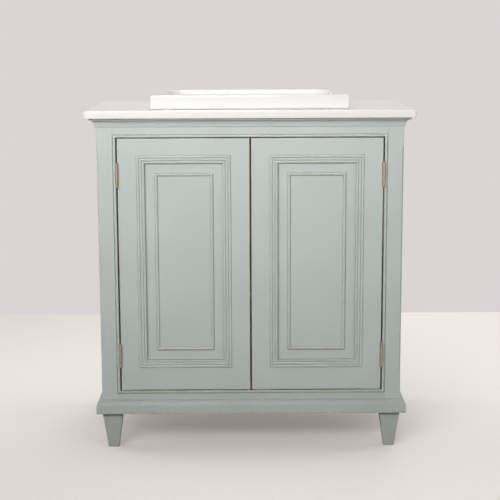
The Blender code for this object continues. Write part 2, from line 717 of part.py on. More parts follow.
def make_door_rail(name, sign, outer_z, inner_z, axis):
    """A rail of the door: its tenons fill the stiles' grooves, and its own groove takes the panel."""
    way = math.copysign(1, inner_z - outer_z)
    width = abs(inner_z - outer_z)
    arris = arc((DOOR_ARRIS, FACE_Y + DOOR_ARRIS), DOOR_ARRIS, DOOR_ARRIS, 180, 270, ARC_STEPS // 2)
    body = [*arris, (width, FACE_Y), (width, DOOR_BACK_Y), (0.0, DOOR_BACK_Y)]
    tongue_front = PANEL_FRONT_Y
    tongue_back = PANEL_FRONT_Y + PANEL_THICKNESS
    tongue_end = width - PANEL_GROOVE - SEAT_GAP
    bend_centre = (2 * DOOR_ARRIS, tongue_front + DOOR_ARRIS)
    bend = arc(bend_centre, DOOR_ARRIS, DOOR_ARRIS, 180, 270, ARC_STEPS // 2)
    tongue = [*bend, (tongue_end, tongue_front), (tongue_end, tongue_back), (DOOR_ARRIS, tongue_back)]
    near = MEETING_GAP / 2 + DOOR_STILE + SEAT_GAP
    far = DOOR_X - DOOR_STILE - SEAT_GAP
    reach = PANEL_GROOVE - SEAT_GAP
    stations = (
        (near - reach, tongue),
        (near, tongue),
        (near, body),
        (far, body),
        (far, tongue),
        (far + reach, tongue),
    )
    loops = [[(sign * x, y, outer_z + way * u) for u, y in outline] for x, outline in stations]
    rail = loft(name, loops, PAINT, parent=axis)
    groove_low = (sign * (near - DOOR_STILE), PANEL_FRONT_Y - SEAT_GAP, inner_z - way * PANEL_GROOVE)
    groove_high = (
        sign * (far + DOOR_STILE),
        PANEL_FRONT_Y + PANEL_THICKNESS + SEAT_GAP,
        inner_z + way * DOOR_STILE,
    )
    cut(rail, box(f"cut_groove_{name}", groove_low, groove_high, PAINT))


def make_door(side, sign):
    """A framed door with a loose panel, a reeded moulding and an inner bead, on its hinge axis."""
    axis = axis_empty(f"door_axis_{side}", (sign * HINGE_X, HINGE_Y, DOOR_BOTTOM))
    hinge_inner = sign * (DOOR_X - DOOR_STILE)
    meeting = sign * MEETING_GAP / 2
    meeting_inner = meeting + sign * DOOR_STILE
    stile = make_door_stile(f"door_{side}_hinge_stile", sign * DOOR_X, hinge_inner, axis)
    for level, z in HINGE_LEVELS.items():
        low, high = leaf_recess(z)
        recess_low = (sign * (DOOR_X - LEAF_THICKNESS - SEAT_GAP), *low)
        recess_high = (sign * (DOOR_X + BOARD_THICKNESS), *high)
        cut(stile, box(f"cut_door_leaf_{level}_{side}", recess_low, recess_high, PAINT))
        make_hinge(side, sign, level, z, axis)
    make_door_stile(f"door_{side}_meeting_stile", meeting, meeting_inner, axis)
    panel_bottom = DOOR_BOTTOM + DOOR_BOTTOM_RAIL
    panel_top = DOOR_TOP - DOOR_TOP_RAIL
    make_door_rail(f"door_{side}_top_rail", sign, DOOR_TOP, panel_top, axis)
    make_door_rail(f"door_{side}_bottom_rail", sign, DOOR_BOTTOM, panel_bottom, axis)
    sight_low = (min(hinge_inner, meeting_inner), panel_bottom)
    sight_high = (max(hinge_inner, meeting_inner), panel_top)
    tuck = PANEL_GROOVE - PANEL_PLAY
    box(
        f"door_{side}_panel",
        (sight_low[0] - tuck, PANEL_FRONT_Y, sight_low[1] - tuck),
        (sight_high[0] + tuck, PANEL_FRONT_Y + PANEL_THICKNESS, sight_high[1] + tuck),
        PAINT,
        parent=axis,
    )
    reeds = reed_outline(PANEL_FRONT_Y)
    mitred_ring(f"door_{side}_panel_moulding", reeds, sight_low, sight_high, axis)
    inset = MOULDING_WIDTH + FIELD_WIDTH
    bead_low = (sight_low[0] + inset, sight_low[1] + inset)
    bead_high = (sight_high[0] - inset, sight_high[1] - inset)
    bead = panel_bead_outline(PANEL_FRONT_Y)
    mitred_ring(f"door_{side}_panel_bead", bead, bead_low, bead_high, axis)


# Worktop and basin


def make_worktop():
    """A slab with softened edges and a hole for the basin."""
    centre = (0.0, 0.0)
    loops = []
    for z, way in ((WORKTOP_UNDERSIDE, 1), (WORKTOP_HEIGHT, -1)):
        for turn in ARRIS_TURNS if way > 0 else reversed(ARRIS_TURNS):
            inset = WORKTOP_ARRIS * (1 - math.sin(math.radians(turn)))
            rise = WORKTOP_ARRIS * (1 - math.cos(math.radians(turn)))
            half = (WORKTOP_X - inset, BACK_Y - inset)
            loops.append(level_loop(*half, WORKTOP_CORNER, centre, z + way * rise))
    bearing = SKIRT_THICKNESS + CUT_OUT_STEP
    hole = (BASIN_WIDTH / 2 - bearing, BASIN_DEPTH / 2 - bearing)
    for z in (WORKTOP_HEIGHT, WORKTOP_UNDERSIDE):
        loops.append(level_loop(*hole, BASIN_CORNER, (0.0, BASIN_Y), z))
    loft("worktop", loops, STONE, ring=True)


def make_basin_seal():
    """The bed of sealant between rim and worktop, set back from the rim's face."""
    sections = (
        (SEAL_INSET, SEAT_GAP),
        (SEAL_INSET, SEAL_THICKNESS - SEAT_GAP),
        (SKIRT_THICKNESS, SEAL_THICKNESS - SEAT_GAP),
        (SKIRT_THICKNESS, SEAT_GAP),
    )
    loops = []
    for inset, rise in sections:
        half = (BASIN_WIDTH / 2 - inset, BASIN_DEPTH / 2 - inset)
        loops.append(level_loop(*half, inner_corner(inset), (0.0, BASIN_Y), WORKTOP_HEIGHT + rise))
    loft("basin_seal", loops, SEALANT, ring=True)


def inner_corner(inset):
    """Corner radius of an outline that lies inside the rim's outer face."""
    return max(BASIN_CORNER - inset, BASIN_EDGE)


def bowl_section(turn):
    """How far in from the opening (0 to 1) and how far down the bowl is, at a turn of 0 to 90 degrees."""
    power = 2 / BOWL_SQUARENESS
    angle = math.radians(turn)
    inward = 1 - max(math.cos(angle), 0.0) ** power
    return inward, BOWL_LIP + (BOWL_DEPTH - BOWL_LIP) * math.sin(angle) ** power


def bowl_loop(inward, depth, grow):
    """The bowl's outline between its opening and the waste, moved out by grow."""
    half_x = BOWL_HALF_X + (FLANGE_SEAT_RADIUS - BOWL_HALF_X) * inward + grow
    half_y = BOWL_HALF_Y + (FLANGE_SEAT_RADIUS - BOWL_HALF_Y) * inward + grow
    radius = BOWL_CORNER + (FLANGE_SEAT_RADIUS - BOWL_CORNER) * inward + grow
    return level_loop(half_x, half_y, radius, (0.0, BOWL_Y), RIM_TOP - depth)


def make_basin():
    """One ceramic shell: rim, skirt, bowl and waste outlet, open underneath."""
    loops = []
    for turn in EDGE_TURNS:
        angle = math.radians(turn)
        spread = BOWL_LIP * (1 - math.sin(angle))
        loops.append(bowl_loop(0.0, BOWL_LIP * (1 - math.cos(angle)), spread))
    inside = [bowl_section(turn) for turn in BOWL_TURNS]
    loops += [bowl_loop(inward, depth, 0.0) for inward, depth in inside]
    waste = (
        (FLANGE_SEAT_RADIUS, BOWL_FLOOR),
        (FLANGE_SEAT_RADIUS, BOWL_FLOOR - FLANGE_SEAT),
        (WASTE_HOLE_RADIUS, BOWL_FLOOR - FLANGE_SEAT),
        (WASTE_HOLE_RADIUS, BOSS_BOTTOM),
        (FLANGE_SEAT_RADIUS + BASIN_WALL, BOSS_BOTTOM),
        (FLANGE_SEAT_RADIUS + BASIN_WALL, BOWL_FLOOR - BASIN_WALL),
    )
    loops += [level_loop(radius, radius, radius, (0.0, BOWL_Y), z) for radius, z in waste]
    loops += [bowl_loop(inward, depth + BASIN_WALL, BASIN_WALL) for inward, depth in reversed(inside)]
    loops.append(bowl_loop(0.0, RIM_THICKNESS, BASIN_WALL))
    outside = [(SKIRT_THICKNESS, RIM_TOP - RIM_THICKNESS), (SKIRT_THICKNESS, SKIRT_BOTTOM)]
    outside += [(BASIN_EDGE / 2, SKIRT_BOTTOM), (0.0, SKIRT_BOTTOM + BASIN_EDGE / 2)]
    for turn in EDGE_TURNS:
        angle = math.radians(turn)
        outside.append((BASIN_EDGE * (1 - math.cos(angle)), RIM_TOP - BASIN_EDGE * (1 - math.sin(angle))))
    for inset, z in outside:
        half = (BASIN_WIDTH / 2 - inset, BASIN_DEPTH / 2 - inset)
        loops.append(level_loop(*half, inner_corner(inset), (0.0, BASIN_Y), z))
    basin = loft("basin", loops, CERAMIC, ring=True)
    tap_y = BASIN_BACK_Y - TAP_LEDGE / 2
    tap = ((TAP_HOLE_RADIUS, RIM_THICKNESS), (TAP_HOLE_RADIUS, -2 * RIM_THICKNESS))
    cut(basin, loft("cut_tap_hole", turned_loops(tap, (0.0, tap_y, RIM_TOP)), CERAMIC))
    share = (OVERFLOW_DROP - BOWL_LIP) / (BOWL_DEPTH - BOWL_LIP)
    inward = bowl_section(math.degrees(math.asin(share ** (BOWL_SQUARENESS / 2))))[0]
    wall_y = BOWL_Y - BOWL_HALF_Y - (FLANGE_SEAT_RADIUS - BOWL_HALF_Y) * inward
    overflow = ((OVERFLOW_RADIUS, -OVERFLOW_DEPTH), (OVERFLOW_RADIUS, BOWL_HALF_Y))
    overflow_loops = turned_loops(overflow, (0.0, wall_y, RIM_TOP - OVERFLOW_DROP), axis="Y")
    cut(basin, loft("cut_overflow", overflow_loops, CERAMIC))


def make_waste():
    """The waste outlet: a flanged tube through the bowl, a nut under it and a plug that rises."""
    centre = (0.0, BOWL_Y, BOWL_FLOOR)
    seat = -FLANGE_SEAT + SEAT_GAP
    body = (
        (WASTE_BORE_RADIUS, 0.0),
        (FLANGE_RADIUS, 0.0),
        (FLANGE_RADIUS, seat),
        (WASTE_TUBE_RADIUS, seat),
        (WASTE_TUBE_RADIUS, seat - WASTE_TAIL),
        (WASTE_BORE_RADIUS, seat - WASTE_TAIL),
    )
    loft("waste_body", turned_loops(body, centre), CHROME, ring=True)
    nut_top = BOSS_BOTTOM - SEAT_GAP
    half_flat = math.pi / NUT_FLATS
    rings = []
    for z in (nut_top - NUT_HEIGHT, nut_top):
        for hexagonal in (True, False) if z < nut_top else (False, True):
            ring = []
            for index in range(NUT_SIDES):
                turn = 2 * math.pi * index / NUT_SIDES
                off_flat = (turn + half_flat) % (2 * half_flat) - half_flat
                radius = NUT_HALF_WIDTH / math.cos(off_flat) if hexagonal else WASTE_HOLE_RADIUS
                ring.append((radius * math.cos(turn), BOWL_Y + radius * math.sin(turn), z))
            rings.append(ring)
    loft("waste_nut", rings, BRASS, ring=True)
    guide = WASTE_BORE_RADIUS - RUNNING_GAP
    crown = arc((0.0, SEAT_GAP + PLUG_EDGE), PLUG_RADIUS, PLUG_CROWN, 0, CROWN_TURN)
    plug = (
        (guide, -PLUG_STEM_LENGTH - PLUG_GUIDE_HEIGHT),
        (guide, -PLUG_STEM_LENGTH),
        (PLUG_STEM_RADIUS, -PLUG_STEM_LENGTH),
        (PLUG_STEM_RADIUS, SEAT_GAP),
        (PLUG_RADIUS, SEAT_GAP),
        *crown,
    )
    piece = loft("waste_plug", turned_loops(plug, centre), CHROME, origin=centre)
    port_radius = (guide - PLUG_STEM_RADIUS) / 2 - PLUG_PORT_WALL
    port_circle = (guide + PLUG_STEM_RADIUS) / 2
    port = ((port_radius, -PLUG_STEM_LENGTH - 2 * PLUG_GUIDE_HEIGHT), (port_radius, -PLUG_GUIDE_HEIGHT))
    for index in range(PLUG_PORT_COUNT):
        turn = 2 * math.pi * (index + 0.5) / PLUG_PORT_COUNT
        place = (port_circle * math.cos(turn), BOWL_Y + port_circle * math.sin(turn), BOWL_FLOOR)
        cut(piece, loft(f"cut_port_{index}", turned_loops(port, place, sides=ROUND_SIDES // 2), CHROME))


# Push latch


def make_latch():
    """A latch on the cabinet floor with a spring plunger behind each door's meeting stile."""
    bore = PLUNGER_RADIUS + RUNNING_GAP
    height = 2 * (bore + LATCH_WALL)
    half = PLUNGER_SPACING / 2 + bore + LATCH_WALL
    bottom = OPENING_BOTTOM + SEAT_GAP
    tip = DOOR_BACK_Y + STRIKE_ROOM
    front = tip + PLUNGER_REACH
    bore_end = front + PLUNGER_TAIL + PLUNGER_TRAVEL + RUNNING_GAP
    ear = half + LATCH_EAR
    outline = (
        (-ear, 0.0),
        (ear, 0.0),
        (ear, LATCH_EAR_THICKNESS),
        (half, LATCH_EAR_THICKNESS),
        (half, height),
        (-half, height),
        (-half, LATCH_EAR_THICKNESS),
        (-ear, LATCH_EAR_THICKNESS),
    )

    def along(x, z, y):
        return x, y, bottom + z

    housing = loft("latch_housing", bar(outline, front, bore_end + LATCH_WALL, along), NYLON)
    for side, sign in SIDES.items():
        place = (sign * PLUNGER_SPACING / 2, tip, bottom + height / 2)
        hole = ((bore, PLUNGER_REACH / 2), (bore, bore_end - tip))
        cut(housing, loft(f"cut_plunger_{side}", turned_loops(hole, place, axis="Y"), NYLON))
        profile = (
            (PLUNGER_RADIUS - PLUNGER_ARRIS, 0.0),
            (PLUNGER_RADIUS, PLUNGER_ARRIS),
            (PLUNGER_RADIUS, PLUNGER_REACH + PLUNGER_TAIL),
        )
        loft(f"latch_plunger_{side}", turned_loops(profile, place, axis="Y"), CHROME, origin=place)


def main():
    make_base_and_legs()
    make_inside()
    for side, sign in SIDES.items():
        make_side_panel(side, sign)
        make_frame_stile(side, sign)
    for rail, (low, high) in rail_levels().items():
        make_frame_rail(f"frame_rail_{rail}", low, high)
    make_opening_beads()
    make_moulding("cornice", cornice_outline())
    make_moulding("plinth", plinth_outline())
    for side, sign in SIDES.items():
        make_door(side, sign)
    make_worktop()
    make_basin_seal()
    make_basin()
    make_waste()
    make_latch()


for old in list(bpy.data.objects):
    bpy.data.objects.remove(old)
main()
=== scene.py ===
"""Looks of a painted two-door vanity unit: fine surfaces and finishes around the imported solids.

The file is laid out as an add-on. Each operator makes one piece or one group of like pieces, in metres and in
the unit's own frame: +Z is up, the doors face -Y and the origin is on the floor.
"""

import json
import math

import bmesh
import bpy
import numpy as np
from bpy.props import FloatProperty, FloatVectorProperty, IntProperty, PointerProperty
from mathutils import Matrix, Vector


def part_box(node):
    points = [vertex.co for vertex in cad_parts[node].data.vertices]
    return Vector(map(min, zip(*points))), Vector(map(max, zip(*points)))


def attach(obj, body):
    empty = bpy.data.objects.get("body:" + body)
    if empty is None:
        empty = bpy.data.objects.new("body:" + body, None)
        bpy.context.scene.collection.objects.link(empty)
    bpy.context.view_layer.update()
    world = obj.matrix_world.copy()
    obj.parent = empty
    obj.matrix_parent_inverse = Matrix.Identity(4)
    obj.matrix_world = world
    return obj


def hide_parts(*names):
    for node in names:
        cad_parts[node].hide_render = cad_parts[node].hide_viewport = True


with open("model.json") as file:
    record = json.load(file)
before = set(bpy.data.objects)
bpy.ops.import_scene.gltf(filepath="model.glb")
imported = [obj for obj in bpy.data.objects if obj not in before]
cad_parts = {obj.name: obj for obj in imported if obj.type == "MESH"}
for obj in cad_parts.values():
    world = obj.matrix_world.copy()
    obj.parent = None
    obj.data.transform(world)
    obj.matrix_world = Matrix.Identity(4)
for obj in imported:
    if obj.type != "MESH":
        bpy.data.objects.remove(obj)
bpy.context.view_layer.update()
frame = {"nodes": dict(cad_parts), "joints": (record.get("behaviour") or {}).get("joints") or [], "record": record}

bl_info = {
    "name": "Painted Vanity Unit",
    "version": (1, 0, 0),
    "blender": (4, 5, 0),
    "location": "View3D > Sidebar > Vanity",
    "description": "Dresses a two-door vanity unit with fine surfaces and finishes",
    "category": "Object",
}

# Planes and levels of the solids
MM = 0.001
SIDES = {"left": -1, "right": 1}
HINGE_LEVELS = ("lower", "upper")
BODY_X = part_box("right_side_panel")[1].x
BACK_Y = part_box("right_side_panel")[1].y
FACE_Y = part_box("frame_stile_left")[0].y
FRAME_BACK_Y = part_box("frame_stile_left")[1].y
OPENING_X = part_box("opening_bead_right")[0].x
OPENING_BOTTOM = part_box("opening_bead_bottom")[1].z
OPENING_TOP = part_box("opening_bead_top")[0].z
BEAD_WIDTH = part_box("opening_bead_top")[1].z - OPENING_TOP
DOOR_BACK_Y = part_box("door_left_hinge_stile")[1].y
PANEL_FRONT_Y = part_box("door_left_panel")[0].y
PANEL_BACK_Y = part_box("door_left_panel")[1].y
RIGHT_HINGE = next(joint for joint in frame["joints"] if joint["name"] == "right_door_hinge")
HINGE_X, HINGE_Y = RIGHT_HINGE["pos_m"][:2]
LEAF_BACK_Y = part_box("hinge_frame_leaf_lower_left")[1].y
KNUCKLE_BORE = (OPENING_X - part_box("door_right_hinge_stile")[1].x) / 2

# Clearance of fitted joints, back of a hinge's recess, largest smooth angle and reach of a weld
SEAT_GAP = 0.3 * MM
RECESS_BACK_Y = LEAF_BACK_Y + SEAT_GAP
SMOOTH_ANGLE = math.radians(32)
WELD = 1e-7

# Wear at which no paint is left and the very dark door-edge colour takes over, which is bare wood and also
# painted shade for the gap between the doors, and the share of a level moulding's wear that an upright one has
BARE_AND_SHADED_EDGE = 2.0
UPRIGHT_WEAR = 0.55

# Columns of a point's marks: wear, and darkening by dark glaze and by painted shade
WEAR, GRIME_AND_SHADE = 0, 1

# Sockets of a Mix node that mixes colours
MIX_SHARE, MIX_FROM, MIX_TO, MIXED_COLOUR = 0, 6, 7, 2


# Colour and nodes


def linear(code):
    """Turn an sRGB hex colour into linear red, green and blue with full alpha."""
    srgb = np.array([int(code[start : start + 2], 16) for start in (1, 3, 5)]) / 255
    curve = np.where(srgb <= 0.04045, srgb / 12.92, ((srgb + 0.055) / 1.055) ** 2.4)
    return (*(float(value) for value in curve), 1.0)


def node(tree, kind, inputs=None, **settings):
    """Add a node with its settings, and give each named or numbered input a value or a link."""
    made = tree.nodes.new(kind)
    for key, value in settings.items():
        setattr(made, key, value)
    for key, value in (inputs or {}).items():
        if isinstance(value, bpy.types.NodeSocket):
            tree.links.new(value, made.inputs[key])
        else:
            made.inputs[key].default_value = value
    return made


def finish(name, **sockets):
    """Make a material whose tree has only its shader and its output, and set the shader's sockets."""
    material = bpy.data.materials.new(name)
    material.use_nodes = True
    shader = material.node_tree.nodes["Principled BSDF"]
    for key, value in sockets.items():
        shader.inputs[key.replace("_", " ").title()].default_value = value
    return material, material.node_tree, shader


# Settings


def colour_setting(name, description, code):
    """A colour for the panel, written as sRGB hex."""
    return FloatVectorProperty(
        name=name, description=description, subtype="COLOR", size=4, default=linear(code)
    )


def length_setting(name, description, length, least=0.0):
    """A length for the panel, in metres."""
    return FloatProperty(name=name, description=description, unit="LENGTH", default=length, min=least)


def angle_setting(name, description, degrees):
    """An angle for the panel, written in degrees."""
    return FloatProperty(name=name, description=description, subtype="ANGLE", default=math.radians(degrees))


def power_setting(name, description, watts):
    """A lamp's power for the panel."""
    return FloatProperty(name=name, description=description, unit="POWER", default=watts, min=0.0)


class VanityPaint(bpy.types.PropertyGroup):
    """Colours of the painted timber, and its brush marks"""

    colour: colour_setting("Paint", "Sage eggshell paint", "#C0C8C3")
    # This colour is also painted shade in creases and over lower parts, besides dark glaze in the quirks
    grime_and_shade: colour_setting("Grime", "Dark glaze left in the quirks", "#6F6E62")
    timber: colour_setting("Timber", "Wood that shows where edges are rubbed", "#B9A48C")
    # Very dark: bare wood, and also painted shade for the gap between the doors, where the meeting edges show
    edge: colour_setting("Door Edge", "Bare wood where the doors meet", "#5B3226")
    inside: colour_setting("Inside", "Paint on the boards inside", "#C4C8C0")
    bristle: length_setting("Bristle Mark", "Width of one brush mark", 1.6 * MM, least=0.2 * MM)
    stroke: length_setting("Brush Stroke", "Length of one brush mark", 120 * MM, least=5 * MM)


class VanityJoinery(bpy.types.PropertyGroup):
    """Sizes of the frame, the doors, the legs and the back board"""

    arris: length_setting("Arris", "Radius of a sanded edge", 0.8 * MM, least=0.1 * MM)
    bead_round: length_setting("Bead Radius", "Radius of the opening bead's edges", 2.2 * MM)
    quirk: length_setting("Quirk", "Width of the groove beside the opening bead", 1.4 * MM)
    quirk_depth: length_setting("Quirk Depth", "Depth of the groove beside the bead", 2.4 * MM)
    panel_groove: length_setting("Panel Groove", "Depth of the groove for a door's panel", 10 * MM)
    moulding_width: length_setting("Moulding Width", "Width of a panel moulding", 21.2 * MM)
    reeds: IntProperty(name="Reeds", description="Reeds across a panel moulding", default=3, min=1)
    reed_fall: length_setting("Reed Fall", "How much lower each reed lies", 1.1 * MM)
    reed_rise: length_setting("Reed Rise", "Height of a reed above its quirk", 2.2 * MM)
    panel_bead: length_setting("Panel Bead", "Width of a panel's inner bead", 8.5 * MM)
    chamfer: length_setting("Chamfer", "Width cut off the frame's outer corners", 4 * MM)
    chamfer_stop: length_setting("Chamfer Stop", "From a moulding to the chamfer's end", 52 * MM)
    chamfer_run_out: length_setting("Run-out", "Length in which the chamfer fades", 6 * MM, least=0.1 * MM)
    opening_corner: length_setting("Opening Corner", "Corner radius of the back board's opening", 20 * MM)
    opening_room: length_setting("Opening Room", "From the opening's clear box to its edge", 8 * MM)
    leg_arris: length_setting("Leg Arris", "Radius of a leg's edges", 1.5 * MM)


class VanityMouldings(bpy.types.PropertyGroup):
    """Sections of the cornice and the plinth"""

    fillet: length_setting("Cornice Fillet", "Square edge at the top", 4.5 * MM)
    step: length_setting("Cornice Step", "Step from fillet to cove", 1.2 * MM)
    foot: length_setting("Cornice Foot", "Projection of the lowest edge", 3.5 * MM)
    foot_height: length_setting("Foot Height", "Height of the lowest edge", 3 * MM)
    nose: length_setting("Plinth Nose", "Height of the plinth's rounded top", 18 * MM)
    lip: length_setting("Plinth Lip", "Flat behind the rounded top", 2 * MM)


class VanityTop(bpy.types.PropertyGroup):
    """Colours and sizes of the worktop and the basin"""

    stone: colour_setting("Quartz", "Ground colour of the worktop", "#F1ECEA")
    ceramic: colour_setting("Glaze", "White glaze of the basin", "#E1E0E0")
    sealant: colour_setting("Sealant", "Joint round the basin's foot", "#C4C2BF")
    stone_arris: length_setting("Stone Arris", "Radius of the worktop's edges", 1.8 * MM)
    stone_corner: length_setting("Stone Corner", "Radius of the worktop's corners", 4 * MM)
    hole_room: length_setting("Hole Room", "From the basin's skirt to the worktop's hole", 1 * MM)
    rim_corner: length_setting("Rim Corner", "Radius of the basin's corners", 7 * MM)
    rim_edge: length_setting("Rim Edge", "Radius of the basin's upper edge", 4.5 * MM)
    rim_thickness: length_setting("Rim Thickness", "Thickness of the ledge", 13 * MM)
    skirt: length_setting("Skirt", "Thickness of the basin's upright edge", 14 * MM)
    wall: length_setting("Wall", "Thickness of the bowl", 11 * MM)
    room_side: length_setting("Side Room", "Between skirt and bowl at the sides", 11 * MM)
    room_front: length_setting("Front Room", "Between skirt and bowl at the front", 4 * MM)
    ledge: length_setting("Tap Ledge", "Depth of the ledge", 85 * MM)
    tap_hole: length_setting("Tap Hole", "Radius of the tap hole", 17.5 * MM)
    bowl_corner: length_setting("Bowl Corner", "Corner radius at the bowl's mouth", 50 * MM)
    bowl_lip: length_setting("Bowl Lip", "Radius where rim turns into bowl", 8 * MM)
    bowl_depth: length_setting("Bowl Depth", "From rim to waste", 125 * MM)
    squareness: FloatProperty(
        name="Bowl Squareness", description="Exponent of the bowl's superellipse",
        default=2.7, min=2.0, max=6.0,
    )
    overflow_drop: length_setting("Overflow Drop", "Overflow below the rim", 34 * MM)
    overflow_radius: length_setting("Overflow", "Radius of the overflow", 10 * MM)


class VanityFittings(bpy.types.PropertyGroup):
    """Colours and sizes of the hinges, the screws, the latch and the waste"""

    brass: colour_setting("Brass", "Satin brass of the hinges", "#B1A188")
    tarnish: colour_setting("Tarnish", "Browner patches on the brass", "#7C6242")
    chrome: colour_setting("Chrome", "Chrome of the waste and the latch", "#DADBDC")
    nylon: colour_setting("Nylon", "Moulded latch", "#A9ABA8")
    knuckles: IntProperty(name="Knuckles", description="Knuckles of a hinge", default=5, min=3)
    leaf: length_setting("Leaf", "Thickness of a hinge leaf", 2 * MM)
    bore: length_setting("Bore", "Radius inside a knuckle", KNUCKLE_BORE)
    screw: length_setting("Screw", "Radius of a screw's head", 3.1 * MM)
    screw_rise: length_setting("Screw Rise", "How proud a screw's head stands", 0.35 * MM)
    slot: length_setting("Slot", "Width of a screw's slot", 0.7 * MM)
    latch_ear: length_setting("Latch Ear", "Length of the latch's foot beside its cover", 10 * MM)
    latch_foot: length_setting("Latch Foot", "Thickness of the latch's foot", 2.5 * MM)
    strike: length_setting("Strike", "Thickness of a latch's strike plate", 1 * MM)
    waste_bore: length_setting("Waste Bore", "Radius inside the waste", 17.5 * MM)
    waste_tube: length_setting("Waste Tube", "Radius of the waste's tail", 22.2 * MM)
    waste_seat: length_setting("Waste Seat", "Depth of the recess for the waste's flange", 4 * MM)
    thread: length_setting("Thread", "Pitch of the waste's thread", 2.3 * MM, least=0.2 * MM)


class VanityStage(bpy.types.PropertyGroup):
    """Floor, backdrop, camera and lights"""

    floor: colour_setting("Floor", "Plain pale floor", "#E4DED8")
    bounce: colour_setting("Floor Bounce", "Light that the floor throws back", "#48423D")
    wall: colour_setting("Backdrop", "Plain pale backdrop", "#DAD4D4")
    lens: FloatProperty(name="Lens", description="Focal length", subtype="DISTANCE_CAMERA", default=91.1)
    eye: FloatVectorProperty(
        name="Eye", description="Place of the camera", unit="LENGTH", size=3, default=(-0.0178, -3.488, 1.095)
    )
    pitch: angle_setting("Pitch", "How far the camera looks down", 9.642)
    yaw: angle_setting("Yaw", "How far the camera looks to the right", 0.284)
    roll: angle_setting("Roll", "How far the camera leans", -0.224)
    key: power_setting("Key Light", "Power of the main softbox", 14.3)
    fill: power_setting("Fill Light", "Power of the fill softbox", 6.9)
    overhead: power_setting("Overhead Light", "Power of the softbox above", 11.0)
    back: power_setting("Back Light", "Power of the softbox behind", 24.0)
    beside: power_setting("Side Lights", "Power of the softbox on each side", 7.0)
    sky: FloatProperty(name="Sky", description="Strength of the light from all round", default=0.25, min=0.0)


# Surfaces


def arc(centre, radius, start, end, steps):
    """Points of an arc: centre plus radius times cosine and sine of evenly spaced angles in degrees."""
    turn = np.radians(np.linspace(start, end, steps + 1))
    return np.asarray(centre) + np.column_stack((np.cos(turn), np.sin(turn))) * radius


def marked(points, wear=0.0, grime_and_shade=0.0):
    """Profile points followed by how rubbed the paint is there and how much dark glaze and painted shade darken
    it:
    from 0 to 1, or a wear of up to the bare edge's, where no paint is left."""
    points = np.atleast_2d(points)
    marks = np.zeros((len(points), 2))
    marks[:, WEAR] = wear
    marks[:, GRIME_AND_SHADE] = grime_and_shade
    return np.hstack((points, marks))


def falling(share, reach):
    """One at zero, falling in a straight line to nothing at the reach."""
    return (1 - share / reach).clip(0)


def surface(x, y, z):
    """A grid of points from its three coordinates, each spread over the whole grid."""
    return np.stack(np.broadcast_arrays(x, y, z), axis=-1)


def plan(low, high):
    """Middle and half size of a box, seen from above."""
    low, high = np.array(low.xy), np.array(high.xy)
    return (low + high) / 2, (high - low) / 2


def rounded_rectangle(half_u, half_v, radius, steps):
    """A rectangle about the origin: four quarter arcs whose centres lie a radius inside its corners."""
    u, v = half_u - radius, half_v - radius
    corners = ((u, v, 0), (-u, v, 90), (-u, -v, 180), (u, -v, 270))
    return np.vstack([arc((cu, cv), radius, start, start + 90, steps) for cu, cv, start in corners])


def level_loop(outline, centre, z):
    """An outline laid flat at one height."""
    return surface(outline[:, 0] + centre[0], outline[:, 1] + centre[1], z)


def upright_loop(outline, centre, y):
    """An outline stood up at one depth."""
    return surface(outline[:, 0] + centre[0], y, outline[:, 1] + centre[1])


def stacked(centre, half, section, corner, steps):
    """Level rounded rectangles about a centre, each drawn in by its inset at its height. The corners share
    one radius, or have one for each rectangle."""
    corner = np.broadcast_to(corner, len(section))
    loops = [rounded_rectangle(*(half - inset), radius, steps) for (inset, _), radius in zip(section, corner)]
    return np.stack([level_loop(loop, centre, z) for loop, (_, z) in zip(loops, section)])


def turned(profile, centre, sides, axis=2):
    """Turn (radius, along) points about a line through centre: radius times cosine and sine of the turn, and
    along on the axis."""
    turn = np.linspace(0, 2 * np.pi, sides, endpoint=False)[None, :]
    radius, along = profile[:, :1], profile[:, 1:2]
    grid = np.empty((len(profile), sides, 3))
    grid[..., (axis + 1) % 3] = radius * np.cos(turn)
    grid[..., (axis + 2) % 3] = radius * np.sin(turn)
    grid[..., axis] = along
    return grid + np.asarray(centre)


def shell(grid, ring=False, marks=None):
    """A closed shell over a grid whose rows are loops: the loops are joined in turn and then capped, or
    joined round into a ring. marks holds the wear, and the darkening by glaze and painted shade, of each point
    along a loop or of each loop."""
    rows, columns = grid.shape[:2]
    row = np.arange(rows if ring else rows - 1)[:, None]
    column = np.arange(columns)[None, :]
    after, beside = (row + 1) % rows, (column + 1) % columns
    corners = (
        row * columns + column, row * columns + beside,
        after * columns + beside, after * columns + column,
    )
    quads = np.stack(np.broadcast_arrays(*corners), axis=-1).reshape(-1, 4)
    caps = [] if ring else [np.arange(columns), np.arange(columns) + (rows - 1) * columns]
    if marks is None:
        marks = np.zeros((1, 1, 2))
    marks = np.broadcast_to(marks, (rows, columns, 2)).reshape(-1, 2)
    return grid.reshape(-1, 3), [*quads, *caps], marks


